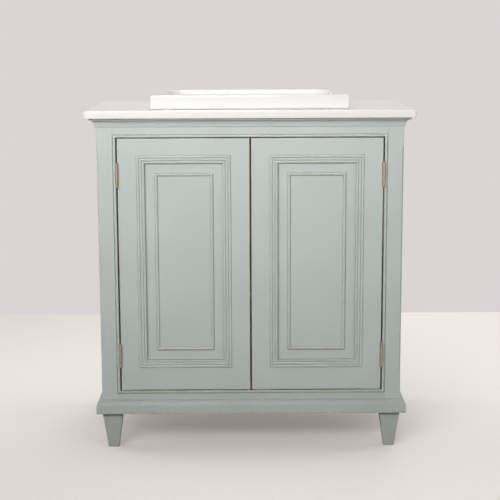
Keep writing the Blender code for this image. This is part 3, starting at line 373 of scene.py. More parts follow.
def piece(name, shells, material, body, nodes=()):
    """Put shells into one object at the origin, each welded by itself, faces outwards, riding on a body and
    standing for solids."""
    points, faces, marks, starts = [], [], [], [0]
    for shell_points, shell_faces, shell_marks in shells:
        points.append(shell_points)
        marks.append(shell_marks)
        faces += [face + starts[-1] for face in shell_faces]
        starts.append(starts[-1] + len(shell_points))
    mesh = bpy.data.meshes.new(name)
    mesh.from_pydata(np.concatenate(points), [], faces)
    marks = np.concatenate(marks).astype(np.float32)
    for index, mark in enumerate(("wear", "grime_and_shade")):
        mesh.attributes.new(mark, "FLOAT", "POINT").data.foreach_set("value", marks[:, index].copy())
    shape = bmesh.new()
    shape.from_mesh(mesh)
    corners = list(shape.verts)
    for start, end in zip(starts, starts[1:]):
        bmesh.ops.remove_doubles(shape, verts=corners[start:end], dist=WELD)
    bmesh.ops.recalc_face_normals(shape, faces=shape.faces)
    shape.to_mesh(mesh)
    shape.free()
    mesh.shade_smooth()
    mesh.set_sharp_from_angle(angle=SMOOTH_ANGLE)
    mesh.materials.append(material)
    made = bpy.data.objects.new(name, mesh)
    bpy.context.scene.collection.objects.link(made)
    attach(made, body)
    if nodes:
        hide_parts(*nodes)
    return made


def dress(material, *nodes):
    """Give solids that keep their own shape a finish."""
    for name in nodes:
        mesh = frame["nodes"][name].data
        mesh.materials.clear()
        mesh.materials.append(material)


def drill(target, cutter_grids):
    """Take closed turned shapes out of a piece, and leave plain mesh behind."""
    cutters = []
    for index, grid in enumerate(cutter_grids):
        mesh = bpy.data.meshes.new(f"drill_{index}")
        points, faces, _ = shell(grid)
        mesh.from_pydata(points, [], faces)
        shape = bmesh.new()
        shape.from_mesh(mesh)
        bmesh.ops.recalc_face_normals(shape, faces=shape.faces)
        shape.to_mesh(mesh)
        shape.free()
        cutter = bpy.data.objects.new(mesh.name, mesh)
        bpy.context.scene.collection.objects.link(cutter)
        modifier = target.modifiers.new(mesh.name, "BOOLEAN")
        modifier.operation = "DIFFERENCE"
        modifier.object = cutter
        cutters.append(cutter)
    bpy.context.view_layer.update()
    result = bpy.data.meshes.new_from_object(target.evaluated_get(bpy.context.evaluated_depsgraph_get()))
    target.modifiers.clear()
    target.data = result
    result.shade_smooth()
    result.set_sharp_from_angle(angle=SMOOTH_ANGLE)
    for cutter in cutters:
        bpy.data.objects.remove(cutter)


# Finishes


def sage_eggshell(name, stroke):
    """Brushed eggshell paint on timber: low sheen, faint bristle lines along the stroke, dark glaze and painted
    shade where the darkening mark lies, and warm wood where edges are rubbed through."""
    paint = bpy.context.scene.vanity_paint
    material, tree, shader = finish(name)
    place = node(tree, "ShaderNodeTexCoord").outputs["Object"]
    marks = [1 / (paint.stroke if along else paint.bristle) for along in stroke]
    stretched = node(tree, "ShaderNodeMapping", {"Vector": place, "Scale": marks}).outputs[0]
    bristles = node(tree, "ShaderNodeTexNoise", {"Vector": stretched, "Scale": 1.0, "Detail": 3.0}).outputs[0]
    cloud_width, patch_width = 160 * MM, 14 * MM
    cloud = node(
        tree, "ShaderNodeTexNoise", {"Vector": place, "Scale": 1 / cloud_width, "Detail": 2.0}
    ).outputs[0]
    shade = node(
        tree, "ShaderNodeMapRange",
        {"Value": cloud, "From Min": 0.3, "From Max": 0.7, "To Min": 0.97, "To Max": 1.03},
    ).outputs[0]
    tint = node(tree, "ShaderNodeHueSaturation", {"Color": tuple(paint.colour), "Value": shade}).outputs[0]
    patch = node(
        tree, "ShaderNodeTexNoise", {"Vector": place, "Scale": 1 / patch_width, "Detail": 5.0}
    ).outputs[0]
    # The darkening mark mixes in the dark colour: dark glaze in quirks, and painted shade in creases, gaps and
    # over lower parts
    grime_and_shade = node(tree, "ShaderNodeAttribute", attribute_name="grime_and_shade").outputs["Fac"]
    dirt_and_shade = node(tree, "ShaderNodeMath", {0: patch, 1: 0.4, 2: 0.8}, operation="MULTIPLY_ADD").outputs[0]
    shaded_and_dirty = node(tree, "ShaderNodeMath", {0: grime_and_shade, 1: dirt_and_shade}, operation="MULTIPLY", use_clamp=True).outputs[0]
    glazed_and_shaded = node(
        tree, "ShaderNodeMix", {MIX_SHARE: shaded_and_dirty, MIX_FROM: tint, MIX_TO: tuple(paint.grime_and_shade)},
        data_type="RGBA",
    ).outputs[MIXED_COLOUR]
    wear = node(tree, "ShaderNodeAttribute", attribute_name="wear").outputs["Fac"]
    rub = node(tree, "ShaderNodeMath", {0: patch, 1: 0.9, 2: wear}, operation="MULTIPLY_ADD").outputs[0]
    rubbed = node(
        tree, "ShaderNodeMapRange", {"Value": rub, "From Min": 0.95, "From Max": 1.45, "To Max": 0.9},
        interpolation_type="SMOOTHSTEP",
    ).outputs[0]
    worn = node(
        tree, "ShaderNodeMix", {MIX_SHARE: rubbed, MIX_FROM: glazed_and_shaded, MIX_TO: tuple(paint.timber)},
        data_type="RGBA",
    ).outputs[MIXED_COLOUR]
    # Bare edges turn very dark: bare wood, and also painted shade for the gap between the doors
    bare_and_shaded = node(
        tree, "ShaderNodeMapRange", {"Value": wear, "From Min": 1.1, "From Max": BARE_AND_SHADED_EDGE}
    ).outputs[0]
    colour = node(
        tree, "ShaderNodeMix", {MIX_SHARE: bare_and_shaded, MIX_FROM: worn, MIX_TO: tuple(paint.edge)},
        data_type="RGBA",
    ).outputs[MIXED_COLOUR]
    roughness = node(
        tree, "ShaderNodeMapRange",
        {"Value": bristles, "From Min": 0.3, "From Max": 0.7, "To Min": 0.36, "To Max": 0.48},
    ).outputs[0]
    bump = node(
        tree, "ShaderNodeBump", {"Height": bristles, "Strength": 0.12, "Distance": 0.25 * MM}
    ).outputs[0]
    tree.links.new(colour, shader.inputs["Base Color"])
    tree.links.new(roughness, shader.inputs["Roughness"])
    tree.links.new(bump, shader.inputs["Normal"])
    return material


def rolled_board_paint():
    """Matt paint rolled on board: the fine stipple of a roller, a little uneven in colour."""
    paint = bpy.context.scene.vanity_paint
    material, tree, shader = finish("rolled_board_paint", roughness=0.6)
    place = node(tree, "ShaderNodeTexCoord").outputs["Object"]
    nap, cloud_width = 2 * MM, 220 * MM
    stipple = node(tree, "ShaderNodeTexNoise", {"Vector": place, "Scale": 1 / nap, "Detail": 2.0}).outputs[0]
    cloud = node(
        tree, "ShaderNodeTexNoise", {"Vector": place, "Scale": 1 / cloud_width, "Detail": 3.0}
    ).outputs[0]
    shade = node(
        tree, "ShaderNodeMapRange",
        {"Value": cloud, "From Min": 0.3, "From Max": 0.7, "To Min": 0.94, "To Max": 1.04},
    ).outputs[0]
    tint = node(tree, "ShaderNodeHueSaturation", {"Color": tuple(paint.inside), "Value": shade}).outputs[0]
    bump = node(
        tree, "ShaderNodeBump", {"Height": stipple, "Strength": 0.25, "Distance": 0.3 * MM}
    ).outputs[0]
    tree.links.new(tint, shader.inputs["Base Color"])
    tree.links.new(bump, shader.inputs["Normal"])
    return material


def polished_quartz():
    """Engineered quartz, polished: a pale ground with grains a little lighter and darker, and soft clouds.
    The grains are 3 mm, coarser than real ones, so that they show."""
    top = bpy.context.scene.vanity_top
    material, tree, shader = finish("polished_quartz", roughness=0.2)
    place = node(tree, "ShaderNodeTexCoord").outputs["Object"]
    grain_width, cloud_width = 3 * MM, 90 * MM
    grain = node(tree, "ShaderNodeTexVoronoi", {"Vector": place, "Scale": 1 / grain_width}).outputs["Color"]
    grey = node(tree, "ShaderNodeRGBToBW", {0: grain}).outputs[0]
    cloud = node(
        tree, "ShaderNodeTexNoise", {"Vector": place, "Scale": 1 / cloud_width, "Detail": 4.0}
    ).outputs[0]
    both = node(tree, "ShaderNodeMath", {0: grey, 1: cloud}, operation="ADD").outputs[0]
    shade = node(
        tree, "ShaderNodeMapRange",
        {"Value": both, "From Min": 0.5, "From Max": 1.5, "To Min": 0.97, "To Max": 1.02},
    ).outputs[0]
    tint = node(tree, "ShaderNodeHueSaturation", {"Color": tuple(top.stone), "Value": shade}).outputs[0]
    tree.links.new(tint, shader.inputs["Base Color"])
    return material


def white_glaze():
    """Vitreous china under clear glaze: almost white, glossy, with the slow waves of a fired surface."""
    top = bpy.context.scene.vanity_top
    material, tree, shader = finish("white_glaze", roughness=0.16, coat_weight=0.7, coat_roughness=0.03)
    shader.inputs["Base Color"].default_value = top.ceramic
    place = node(tree, "ShaderNodeTexCoord").outputs["Object"]
    wave_length = 55 * MM
    wave = node(
        tree, "ShaderNodeTexNoise", {"Vector": place, "Scale": 1 / wave_length, "Detail": 1.0}
    ).outputs[0]
    bump = node(tree, "ShaderNodeBump", {"Height": wave, "Strength": 0.05, "Distance": 1.2 * MM}).outputs[0]
    tree.links.new(bump, shader.inputs["Normal"])
    tree.links.new(bump, shader.inputs["Coat Normal"])
    return material


def satin_brass():
    """Brass dulled by handling: a warm metal with soft streaks and browner patches of tarnish."""
    fittings = bpy.context.scene.vanity_fittings
    material, tree, shader = finish("satin_brass", metallic=1.0)
    place = node(tree, "ShaderNodeTexCoord").outputs["Object"]
    streak_width, streak_length, patch_width = 0.4 * MM, 9 * MM, 7 * MM
    marks = (1 / streak_width, 1 / streak_width, 1 / streak_length)
    along = node(tree, "ShaderNodeMapping", {"Vector": place, "Scale": marks}).outputs[0]
    streak = node(tree, "ShaderNodeTexNoise", {"Vector": along, "Scale": 1.0, "Detail": 2.0}).outputs[0]
    patch = node(
        tree, "ShaderNodeTexNoise", {"Vector": place, "Scale": 1 / patch_width, "Detail": 4.0}
    ).outputs[0]
    tarnish = node(
        tree, "ShaderNodeMapRange", {"Value": patch, "From Min": 0.45, "From Max": 0.75, "To Max": 0.55}
    ).outputs[0]
    colour = node(
        tree, "ShaderNodeMix",
        {MIX_SHARE: tarnish, MIX_FROM: tuple(fittings.brass), MIX_TO: tuple(fittings.tarnish)},
        data_type="RGBA",
    ).outputs[MIXED_COLOUR]
    roughness = node(tree, "ShaderNodeMapRange", {"Value": streak, "To Min": 0.26, "To Max": 0.46}).outputs[0]
    tree.links.new(colour, shader.inputs["Base Color"])
    tree.links.new(roughness, shader.inputs["Roughness"])
    return material


def bright_chrome():
    """Chromium plate: a clear mirror with faint water marks that blur it."""
    fittings = bpy.context.scene.vanity_fittings
    material, tree, shader = finish("bright_chrome", metallic=1.0)
    shader.inputs["Base Color"].default_value = fittings.chrome
    place = node(tree, "ShaderNodeTexCoord").outputs["Object"]
    spot_width = 6 * MM
    spots = node(
        tree, "ShaderNodeTexNoise", {"Vector": place, "Scale": 1 / spot_width, "Detail": 3.0}
    ).outputs[0]
    roughness = node(
        tree, "ShaderNodeMapRange",
        {"Value": spots, "From Min": 0.4, "From Max": 0.8, "To Min": 0.05, "To Max": 0.18},
    ).outputs[0]
    tree.links.new(roughness, shader.inputs["Roughness"])
    return material


def moulded(name, colour, roughness, stipple_width):
    """A moulded or tooled soft skin: one colour with a fine stipple of the given width."""
    material, tree, shader = finish(name, roughness=roughness)
    place = node(tree, "ShaderNodeTexCoord").outputs["Object"]
    scale = 1 / stipple_width
    stipple = node(tree, "ShaderNodeTexNoise", {"Vector": place, "Scale": scale, "Detail": 2.0}).outputs[0]
    shade = node(tree, "ShaderNodeMapRange", {"Value": stipple, "To Min": 0.9, "To Max": 1.08}).outputs[0]
    tint = node(tree, "ShaderNodeHueSaturation", {"Color": colour, "Value": shade}).outputs[0]
    bump = node(tree, "ShaderNodeBump", {"Height": stipple, "Strength": 0.2, "Distance": 0.2 * MM}).outputs[0]
    tree.links.new(tint, shader.inputs["Base Color"])
    tree.links.new(bump, shader.inputs["Normal"])
    return material


def shared(name, make, *details):
    """The finish of that name, made on first use."""
    return bpy.data.materials.get(name) or make(*details)


def paint_upright():
    """Paint brushed up and down."""
    return shared("sage_eggshell_upright", sage_eggshell, "sage_eggshell_upright", (False, False, True))


def paint_level():
    """Paint brushed from side to side."""
    return shared("sage_eggshell_level", sage_eggshell, "sage_eggshell_level", (True, False, False))


def paint_moulding():
    """Paint dabbed into mouldings, with no direction."""
    return shared("sage_eggshell_moulding", sage_eggshell, "sage_eggshell_moulding", (False, False, False))


def brass():
    """Brass of the hinges, their screws and the waste's nut."""
    return shared("satin_brass", satin_brass)


def chrome():
    """Chrome of the waste, the overflow, the latch's rods, the strike plates and the other screws."""
    return shared("bright_chrome", bright_chrome)


# Joinery


class VANITY_OT_carcass(bpy.types.Operator):
    """Paint the boards, the frame's upper rail and the door panels, which keep the solids' shapes"""

    bl_idname = "vanity.carcass"
    bl_label = "Carcass"

    def execute(self, context):
        dress(paint_upright(), "left_side_panel", "right_side_panel", "door_left_panel", "door_right_panel")
        dress(paint_level(), "frame_rail_top")
        board = shared("rolled_board_paint", rolled_board_paint)
        dress(board, "base_board", "cabinet_floor", "shelf", "rear_top_rail")
        return {"FINISHED"}


class VANITY_OT_face_frame(bpy.types.Operator):
    """Make the frame's uprights, whose outer corners carry a stopped chamfer, and its lower rail"""

    bl_idname = "vanity.face_frame"
    bl_label = "Face Frame"

    def execute(self, context):
        for side, sign in SIDES.items():
            grid, marks = self.upright(context.scene.vanity_joinery, side, sign)
            part = shell(grid, marks=marks)
            name = f"chamfered_stile_{side}"
            piece(name, [part], paint_upright(), "carcass", [f"frame_stile_{side}"])
        # Painted shade: the whole lower rail is made a little darker
        wear, grime_and_shade = 0.0, 0.13
        rail = shell(self.rail(), marks=np.array((wear, grime_and_shade)))
        piece("lower_frame_rail", [rail], paint_level(), "carcass", ["frame_rail_bottom"])
        return {"FINISHED"}

    def rail(self):
        """The lower rail's square section at its two shoulders."""
        low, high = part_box("frame_rail_bottom")
        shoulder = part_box("frame_stile_right")[0].x
        ends = np.array((-shoulder, shoulder))[:, None]
        depth = np.array((low.y, high.y, high.y, low.y))
        height = np.array((low.z, low.z, high.z, high.z))
        return surface(ends, depth, height)

    def upright(self, joinery, side, sign):
        """Rows are levels, columns the section's corners. The chamfer's width grows from the arris to its
        full size as a smooth step of the height past its stop: 3 t squared minus 2 t cubed."""
        low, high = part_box(f"frame_stile_{side}")
        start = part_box("plinth_front")[1].z + joinery.chamfer_stop
        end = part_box("cornice_front")[0].z - joinery.chamfer_stop
        ease = np.linspace(0, 1, 9) * joinery.chamfer_run_out
        levels = np.concatenate(([low.z], start + ease, end - ease[::-1], [high.z]))[:, None]
        share = np.clip(np.minimum(levels - start, end - levels) / joinery.chamfer_run_out, 0, 1)
        width = joinery.arris + (joinery.chamfer - joinery.arris) * (3 * share**2 - 2 * share**3)
        flat = np.zeros_like(width)
        inner = BODY_X - (high.x - low.x)
        across = np.hstack((flat + inner, BODY_X - width, flat + BODY_X, flat + BODY_X, flat + inner))
        depth = np.hstack((flat + low.y, flat + low.y, low.y + width, flat + high.y, flat + high.y))
        chamfer_wear = 0.4
        marks = np.zeros((*across.shape, 2))
        marks[:, 1:3, WEAR] = chamfer_wear
        return surface(sign * across, depth, levels), marks


class VANITY_OT_legs(bpy.types.Operator):
    """Make the four tapered legs with softened edges"""

    bl_idname = "vanity.legs"
    bl_label = "Legs"

    def execute(self, context):
        arris = context.scene.vanity_joinery.leg_arris
        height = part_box("plinth_front")[0].z
        for end in ("front", "rear"):
            for side in SIDES:
                name = f"leg_{end}_{side}"
                centre, half = plan(*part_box(name))
                grid, marks = self.taper(centre, self.foot(name), half[0], height, arris)
                part = shell(grid, marks=marks)
                piece(f"tapered_{name}", [part], paint_upright(), "carcass", [name])
        return {"FINISHED"}

    def foot(self, name):
        """Half the width of the solid's lowest face."""
        corners = frame["nodes"][name].data.vertices
        points = np.empty(3 * len(corners))
        corners.foreach_get("co", points)
        points = points.reshape(-1, 3)
        return np.ptp(points[points[:, 2] < SEAT_GAP], axis=0)[0] / 2

    def taper(self, centre, foot, top, height, arris):
        """Rounded squares whose half width grows in a straight line from foot to top; the lowest one is drawn
        in by half the arris. Edges and foot are rubbed, and painted shade darkens the whole leg a little."""
        levels = np.array((0, arris / 2, 0.25 * height, 0.5 * height, 0.75 * height, height))
        inset = (top - foot) * (1 - levels / height)
        inset[0] += arris / 2
        grid = stacked(centre, np.array((top, top)), np.column_stack((inset, levels)), arris, 5)
        corner = np.tile(np.sin(np.linspace(0, np.pi, 6)), 4)
        edge_wear, foot_wear, shade_and_grime_all_over = 0.75, 0.85, 0.09
        marks = np.zeros((*grid.shape[:2], 2))
        marks[..., WEAR] = edge_wear * corner
        marks[:2, :, WEAR] = foot_wear
        # Painted shade over the whole leg
        marks[..., GRIME_AND_SHADE] = shade_and_grime_all_over
        return grid, marks


def round_three_sides(profile):
    """Carry (out, height) points along the left side, the front and the right side, mitred at the corners:
    out moves a point away from the body, sideways at the sides and forwards at the front."""
    side = np.array((-1, -1, 1, 1))[:, None]
    at_front = np.array((False, True, True, False))[:, None]
    out, height = profile[:, 0], profile[:, 1]
    return surface(side * (BODY_X + out), np.where(at_front, FACE_Y - out, BACK_Y), height)


class VANITY_OT_mouldings(bpy.types.Operator):
    """Run the cornice and the plinth round the body's front and sides"""

    bl_idname = "vanity.mouldings"
    bl_label = "Cornice and Plinth"

    def execute(self, context):
        sizes = context.scene.vanity_mouldings
        arris = context.scene.vanity_joinery.arris
        for name, section in (("cornice", self.cornice), ("plinth", self.plinth)):
            profile = section(sizes, arris)
            run = shell(round_three_sides(profile), marks=profile[:, 2:])
            nodes = [f"{name}_{part}" for part in ("front", "left", "right")]
            piece(f"{name}_run", [run], paint_moulding(), "carcass", nodes)
        return {"FINISHED"}

    def cornice(self, sizes, arris):
        """Section as projection and height: a fillet, a step, an elliptical cove and a small foot. Painted shade
        lies under the step and, less, above the foot, and a painted shadow line runs under the foot."""
        low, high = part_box("cornice_front")
        reach = FACE_Y - low.y
        cove_top = high.z - sizes.fillet
        cove_bottom = low.z + sizes.foot_height
        cove_reach = reach - sizes.step
        cove = arc((cove_reach, cove_bottom), (cove_reach - sizes.foot, cove_top - cove_bottom), 90, 180, 24)
        # Painted shade down the cove: darkest under the step, none in the middle, a little above the foot
        dirt_and_shade = np.interp(np.linspace(0, 24, len(cove)), (0, 8, 17, 24), (0.45, 0, 0, 0.12))
        return np.vstack((
            marked((SEAT_GAP, high.z)),
            marked(arc((reach - arris, high.z - arris), arris, 90, 0, 4), wear=1.05),
            marked(arc((reach - arris, cove_top + arris), arris, 0, -90, 4), wear=0.5),
            marked(cove, grime_and_shade=dirt_and_shade),
            marked(arc((sizes.foot - arris, low.z + arris), arris, 0, -90, 4), wear=0.5),
            marked((SEAT_GAP, low.z), grime_and_shade=0.5),
        ))

    def plinth(self, sizes, arris):
        """Section as projection and height: a square face under a rounded nose that ends in a narrow lip."""
        low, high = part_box("plinth_front")
        reach = FACE_Y - low.y
        nose = arc((sizes.lip, high.z - sizes.nose), (reach - sizes.lip, sizes.nose), 0, 90, 24)
        rubbed = np.linspace(0.0, 0.3, len(nose))
        # Painted shade on the rounded nose, so it catches no more light than the face below, and a dark line where
        # the lip meets the frame
        dirt_and_shade = np.linspace(0.1, 0.8, len(nose)).clip(max=0.34)
        return np.vstack((
            marked((SEAT_GAP, low.z)),
            marked(arc((reach - arris, low.z + arris), arris, -90, 0, 4), wear=0.75),
            marked(nose, wear=rubbed, grime_and_shade=dirt_and_shade),
            marked((SEAT_GAP, high.z), grime_and_shade=0.6),
        ))


def hinge_levels(side):
    """Lower and upper end of the recess for each hinge on one side."""
    ends = []
    for level in HINGE_LEVELS:
        low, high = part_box(f"hinge_frame_leaf_{level}_{side}")
        ends.append((low.z - SEAT_GAP, high.z + SEAT_GAP))
    return ends


def recessed_stations(bottom, top, side, depth):
    """Levels up an edge, doubled at each end of a hinge's recess, with the depth let in at each."""
    levels, recess = [bottom], [0.0]
    for low, high in hinge_levels(side):
        levels += [low, low, high, high]
        recess += [0.0, depth, depth, 0.0]
    return np.array([*levels, top]), np.array([*recess, 0.0])


def let_in(across, depth, recess):
    """Move points that lie nearer the edge than the recess in to it, as far back as a leaf reaches."""
    return np.where(depth < RECESS_BACK_Y, np.maximum(across, recess[:, None]), across)


class VANITY_OT_opening_bead(bpy.types.Operator):
    """Run the quirked bead round the door opening, let in for the hinges"""

    bl_idname = "vanity.opening_bead"
    bl_label = "Opening Bead"

    def execute(self, context):
        profile = self.section(context.scene.vanity_joinery)
        leaf = context.scene.vanity_fittings.leaf + SEAT_GAP
        across, depth, marks = profile[:, 0], profile[:, 1], profile[:, 2:]
        ends = np.array((-1, 1))[:, None]
        parts = []
        for side, sign in SIDES.items():
            levels, recess = recessed_stations(OPENING_BOTTOM, OPENING_TOP, side, leaf)
            mitre = np.zeros((len(levels), 1))
            mitre[[0, -1]] = ends
            x = sign * (OPENING_X + let_in(across, depth, recess))
            grid = surface(x, depth, levels[:, None] + mitre * across)
            parts.append(shell(grid, marks=marks * (UPRIGHT_WEAR, 1)))
        for level, rise in ((OPENING_BOTTOM, -1), (OPENING_TOP, 1)):
            grid = surface(ends * (OPENING_X + across), depth, level + rise * across)
            parts.append(shell(grid, marks=marks))
        nodes = [f"opening_bead_{part}" for part in ("left", "right", "top", "bottom")]
        piece("opening_bead", parts, paint_moulding(), "carcass", nodes)
        return {"FINISHED"}

    def section(self, joinery):
        """Section as distance out from the opening and depth: two rounded edges, a quirk and a plain back."""
        nose = BEAD_WIDTH - joinery.quirk
        back = BEAD_WIDTH - SEAT_GAP
        radius = joinery.bead_round
        floor = FACE_Y + joinery.quirk_depth
        inner = arc((radius, FACE_Y + radius), radius, 180, 270, 8)
        outer = arc((nose - radius, FACE_Y + radius), radius, 270, 360, 8)
        rising = np.linspace(0, 1, len(inner))
        return np.vstack((
            marked((0.0, FRAME_BACK_Y)),
            marked((0.0, RECESS_BACK_Y + WELD)),
            # Painted shade: darker along the edge that faces the door gap, fading onto the face, and a little in
            # the quirk
            marked((0.0, RECESS_BACK_Y - WELD), grime_and_shade=0.8),
            marked(inner, wear=0.9 * rising, grime_and_shade=0.8 * (1 - rising)),
            marked(outer, wear=0.35 * np.sin(np.pi * rising)),
            marked((nose, floor), grime_and_shade=0.15),
            marked((back, floor), grime_and_shade=0.15),
            marked((back, FRAME_BACK_Y)),
        ))


# Doors


class VANITY_OT_doors(bpy.types.Operator):
    """Make the doors' uprights and rails with sanded edges"""

    bl_idname = "vanity.doors"
    bl_label = "Door Frames"

    def execute(self, context):
        for side, sign in SIDES.items():
            for use, outward in (("hinge", sign), ("meeting", -sign)):
                self.upright(context.scene, side, use, outward)
            for use, upward, wear in (("top", 1, 0.65), ("bottom", -1, 0.95)):
                self.rail(context.scene.vanity_joinery, side, use, upward, wear)
        return {"FINISHED"}

    def upright(self, scene, side, use, outward):
        """The section carried up the door: let in for the hinges on their side, bare where the doors meet."""
        name = f"door_{side}_{use}_stile"
        low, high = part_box(name)
        # Meeting edges wear bare to the very dark door-edge colour: bare wood, and painted shade for the gap
        # between the doors
        edge_wear, arris_wear = (BARE_AND_SHADED_EDGE, 1.3) if use == "meeting" else (0.45, 0.7)
        profile = self.section(scene.vanity_joinery, high.x - low.x, edge_wear, arris_wear)
        recess_depth = scene.vanity_fittings.leaf + SEAT_GAP if use == "hinge" else 0.0
        levels, recess = recessed_stations(low.z, high.z, side, recess_depth)
        across, depth = profile[:, 0], profile[:, 1]
        edge = high.x if outward > 0 else low.x
        grid = surface(edge - outward * let_in(across, depth, recess), depth, levels[:, None])
        part = shell(grid, marks=profile[:, 2:])
        piece(f"{side}_{use}_stile", [part], paint_upright(), f"{side}_door", [name])

    def rail(self, joinery, side, use, upward, wear):
        """The section carried from one upright of the door to the other."""
        name = f"door_{side}_{use}_rail"
        low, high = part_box(name)
        profile = self.section(joinery, high.z - low.z, wear, wear)
        edge = high.z if upward > 0 else low.z
        grid = surface(self.shoulders(side), profile[:, 1], edge - upward * profile[:, 0])
        part = shell(grid, marks=profile[:, 2:])
        piece(f"{side}_{use}_rail", [part], paint_level(), f"{side}_door", [name])

    def shoulders(self, side):
        """Where a rail meets the two uprights of its door."""
        boxes = [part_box(f"door_{side}_{use}_stile") for use in ("hinge", "meeting")]
        left, right = sorted(boxes, key=lambda box: box[0].x)
        return np.array((left[1].x, right[0].x))[:, None]

    def section(self, joinery, width, edge_wear, arris_wear):
        """Section as distance in from the outer edge and depth: rounded outer edges and a groove for the
        panel. The wear fades a few arrises onto the face, and back to that of paint a few more along the
        edge."""
        arris = joinery.arris
        on_face, rubbed_to, painted_from = 3 * arris, FACE_Y + 6 * arris, FACE_Y + 10 * arris
        painted_wear = min(edge_wear, 0.5)
        groove = width - joinery.panel_groove
        front, back = PANEL_FRONT_Y - SEAT_GAP, PANEL_BACK_Y + SEAT_GAP
        rubbed_arris = arc((arris, FACE_Y + arris), arris, 180, 270, 4)
        return np.vstack((
            marked((on_face, DOOR_BACK_Y)),
            marked(arc((arris, DOOR_BACK_Y - arris), arris, 90, 180, 4), wear=painted_wear),
            marked((0.0, RECESS_BACK_Y + WELD), wear=painted_wear),
            marked((0.0, RECESS_BACK_Y - WELD), wear=painted_wear),
            marked((0.0, painted_from), wear=painted_wear),
            marked((0.0, rubbed_to), wear=edge_wear),
            marked(rubbed_arris, wear=np.linspace(edge_wear, arris_wear, len(rubbed_arris))),
            marked((on_face, FACE_Y)),
            marked((width, FACE_Y)),
            marked((width, front)),
            marked((groove, front)),
            marked((groove, back)),
            marked((width, back)),
            marked((width, DOOR_BACK_Y)),
        ))


class VANITY_OT_panel_mouldings(bpy.types.Operator):
    """Plant the reeded moulding and the inner bead on each door's panel"""

    bl_idname = "vanity.panel_mouldings"
    bl_label = "Panel Mouldings"

    def execute(self, context):
        joinery = context.scene.vanity_joinery
        for side in SIDES:
            for use, section in (("moulding", self.reeds), ("bead", self.half_round)):
                name = f"door_{side}_panel_{use}"
                low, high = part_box(name)
                profile = section(joinery, low, high)
                corners = self.round_rectangle(profile, low, high)
                parts = []
                for first, wear in enumerate((1, UPRIGHT_WEAR, 1, UPRIGHT_WEAR)):
                    strip = corners[[first, (first + 1) % 4]]
                    parts.append(shell(strip, marks=profile[:, 2:] * (wear, 1)))
                piece(f"{side}_panel_{use}", parts, paint_moulding(), f"{side}_door", [name])
        return {"FINISHED"}

    def round_rectangle(self, profile, low, high):
        """Set (inward, depth) points at the corners of a rectangle, from low left and anticlockwise: inward
        moves a point both across and along, which mitres the joint."""
        inward, depth = profile[:, 0], profile[:, 1]
        corner_x = np.array((low.x, high.x, high.x, low.x))[:, None]
        corner_z = np.array((low.z, low.z, high.z, high.z))[:, None]
        x = corner_x + np.array((1, -1, -1, 1))[:, None] * inward
        z = corner_z + np.array((1, 1, -1, -1))[:, None] * inward
        return surface(x, depth, z)

    def reeds(self, joinery, low, high):
        """Half ellipses side by side, each a little lower than the one outside it, down to the panel. Crests
        are rubbed; dark glaze and painted shade lie in the quirks, and painted shade along both borders."""
        width = joinery.moulding_width
        reed = width / joinery.reeds
        across = np.linspace(0, 1, 17)
        crest = np.sin(np.pi * across)
        shade_and_grime_all_over, quirk_grime_and_shade, outer_border_shade, inner_border_shade = 0.03, 0.4, 0.25, 0.4
        rows = [marked((0.0, high.y))]
        for index in range(joinery.reeds):
            centre = ((index + 0.5) * reed, low.y + index * joinery.reed_fall + joinery.reed_rise)
            bend = arc(centre, (reed / 2, joinery.reed_rise), 180, 360, 16)
            share = (index + across) / joinery.reeds
            # Painted shade along both borders, where the moulding meets the frame and where it drops to the panel
            border_shade = outer_border_shade * falling(share, 0.1) + inner_border_shade * falling(1 - share, 0.14)
            grime_and_shade = shade_and_grime_all_over + quirk_grime_and_shade * falling(crest, 0.556) + border_shade
            rows.append(marked(bend, wear=0.6 * crest**3, grime_and_shade=grime_and_shade))
        rows.append(marked((width, high.y), grime_and_shade=0.8))
        return np.vstack(rows)

    def half_round(self, joinery, low, high):
        """Half an ellipse whose height is the bead's depth, rubbed on its crest, with painted shade beside it."""
        half = joinery.panel_bead / 2
        bend = arc((half, high.y), (half, high.y - low.y), 180, 360, 24)
        crest = np.sin(np.linspace(0, np.pi, len(bend)))
        shade_and_grime_all_over = 0.03
        # Painted shade beside the bead, and a trace all over
        return marked(bend, wear=0.78 * crest**4, grime_and_shade=shade_and_grime_all_over + falling(crest, 0.69))


# Worktop and basin


class VANITY_OT_worktop(bpy.types.Operator):
    """Make the stone worktop with rounded edges and its hole for the basin"""

    bl_idname = "vanity.worktop"
    bl_label = "Worktop"

    def execute(self, context):
        slab = shell(self.slab(context.scene.vanity_top), ring=True)
        stone = shared("polished_quartz", polished_quartz)
        piece("stone_top", [slab], stone, "carcass", ["worktop"])
        return {"FINISHED"}

    def slab(self, top):
        """Outlines drawn in by a quarter arc at the lower edge and at the upper edge, then the hole's at both
        faces."""
        low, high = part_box("worktop")
        lower = arc((top.stone_arris, low.z + top.stone_arris), top.stone_arris, 270, 180, 6)
        upper = arc((top.stone_arris, high.z - top.stone_arris), top.stone_arris, 180, 90, 6)
        outside = stacked(*plan(low, high), np.vstack((lower, upper)), top.stone_corner, 10)
        centre, half = plan(*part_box("basin"))
        hole_half = half - top.skirt - top.hole_room
        hole = stacked(centre, hole_half, ((0.0, high.z), (0.0, low.z)), top.rim_corner, 10)
        return np.concatenate((outside, hole))


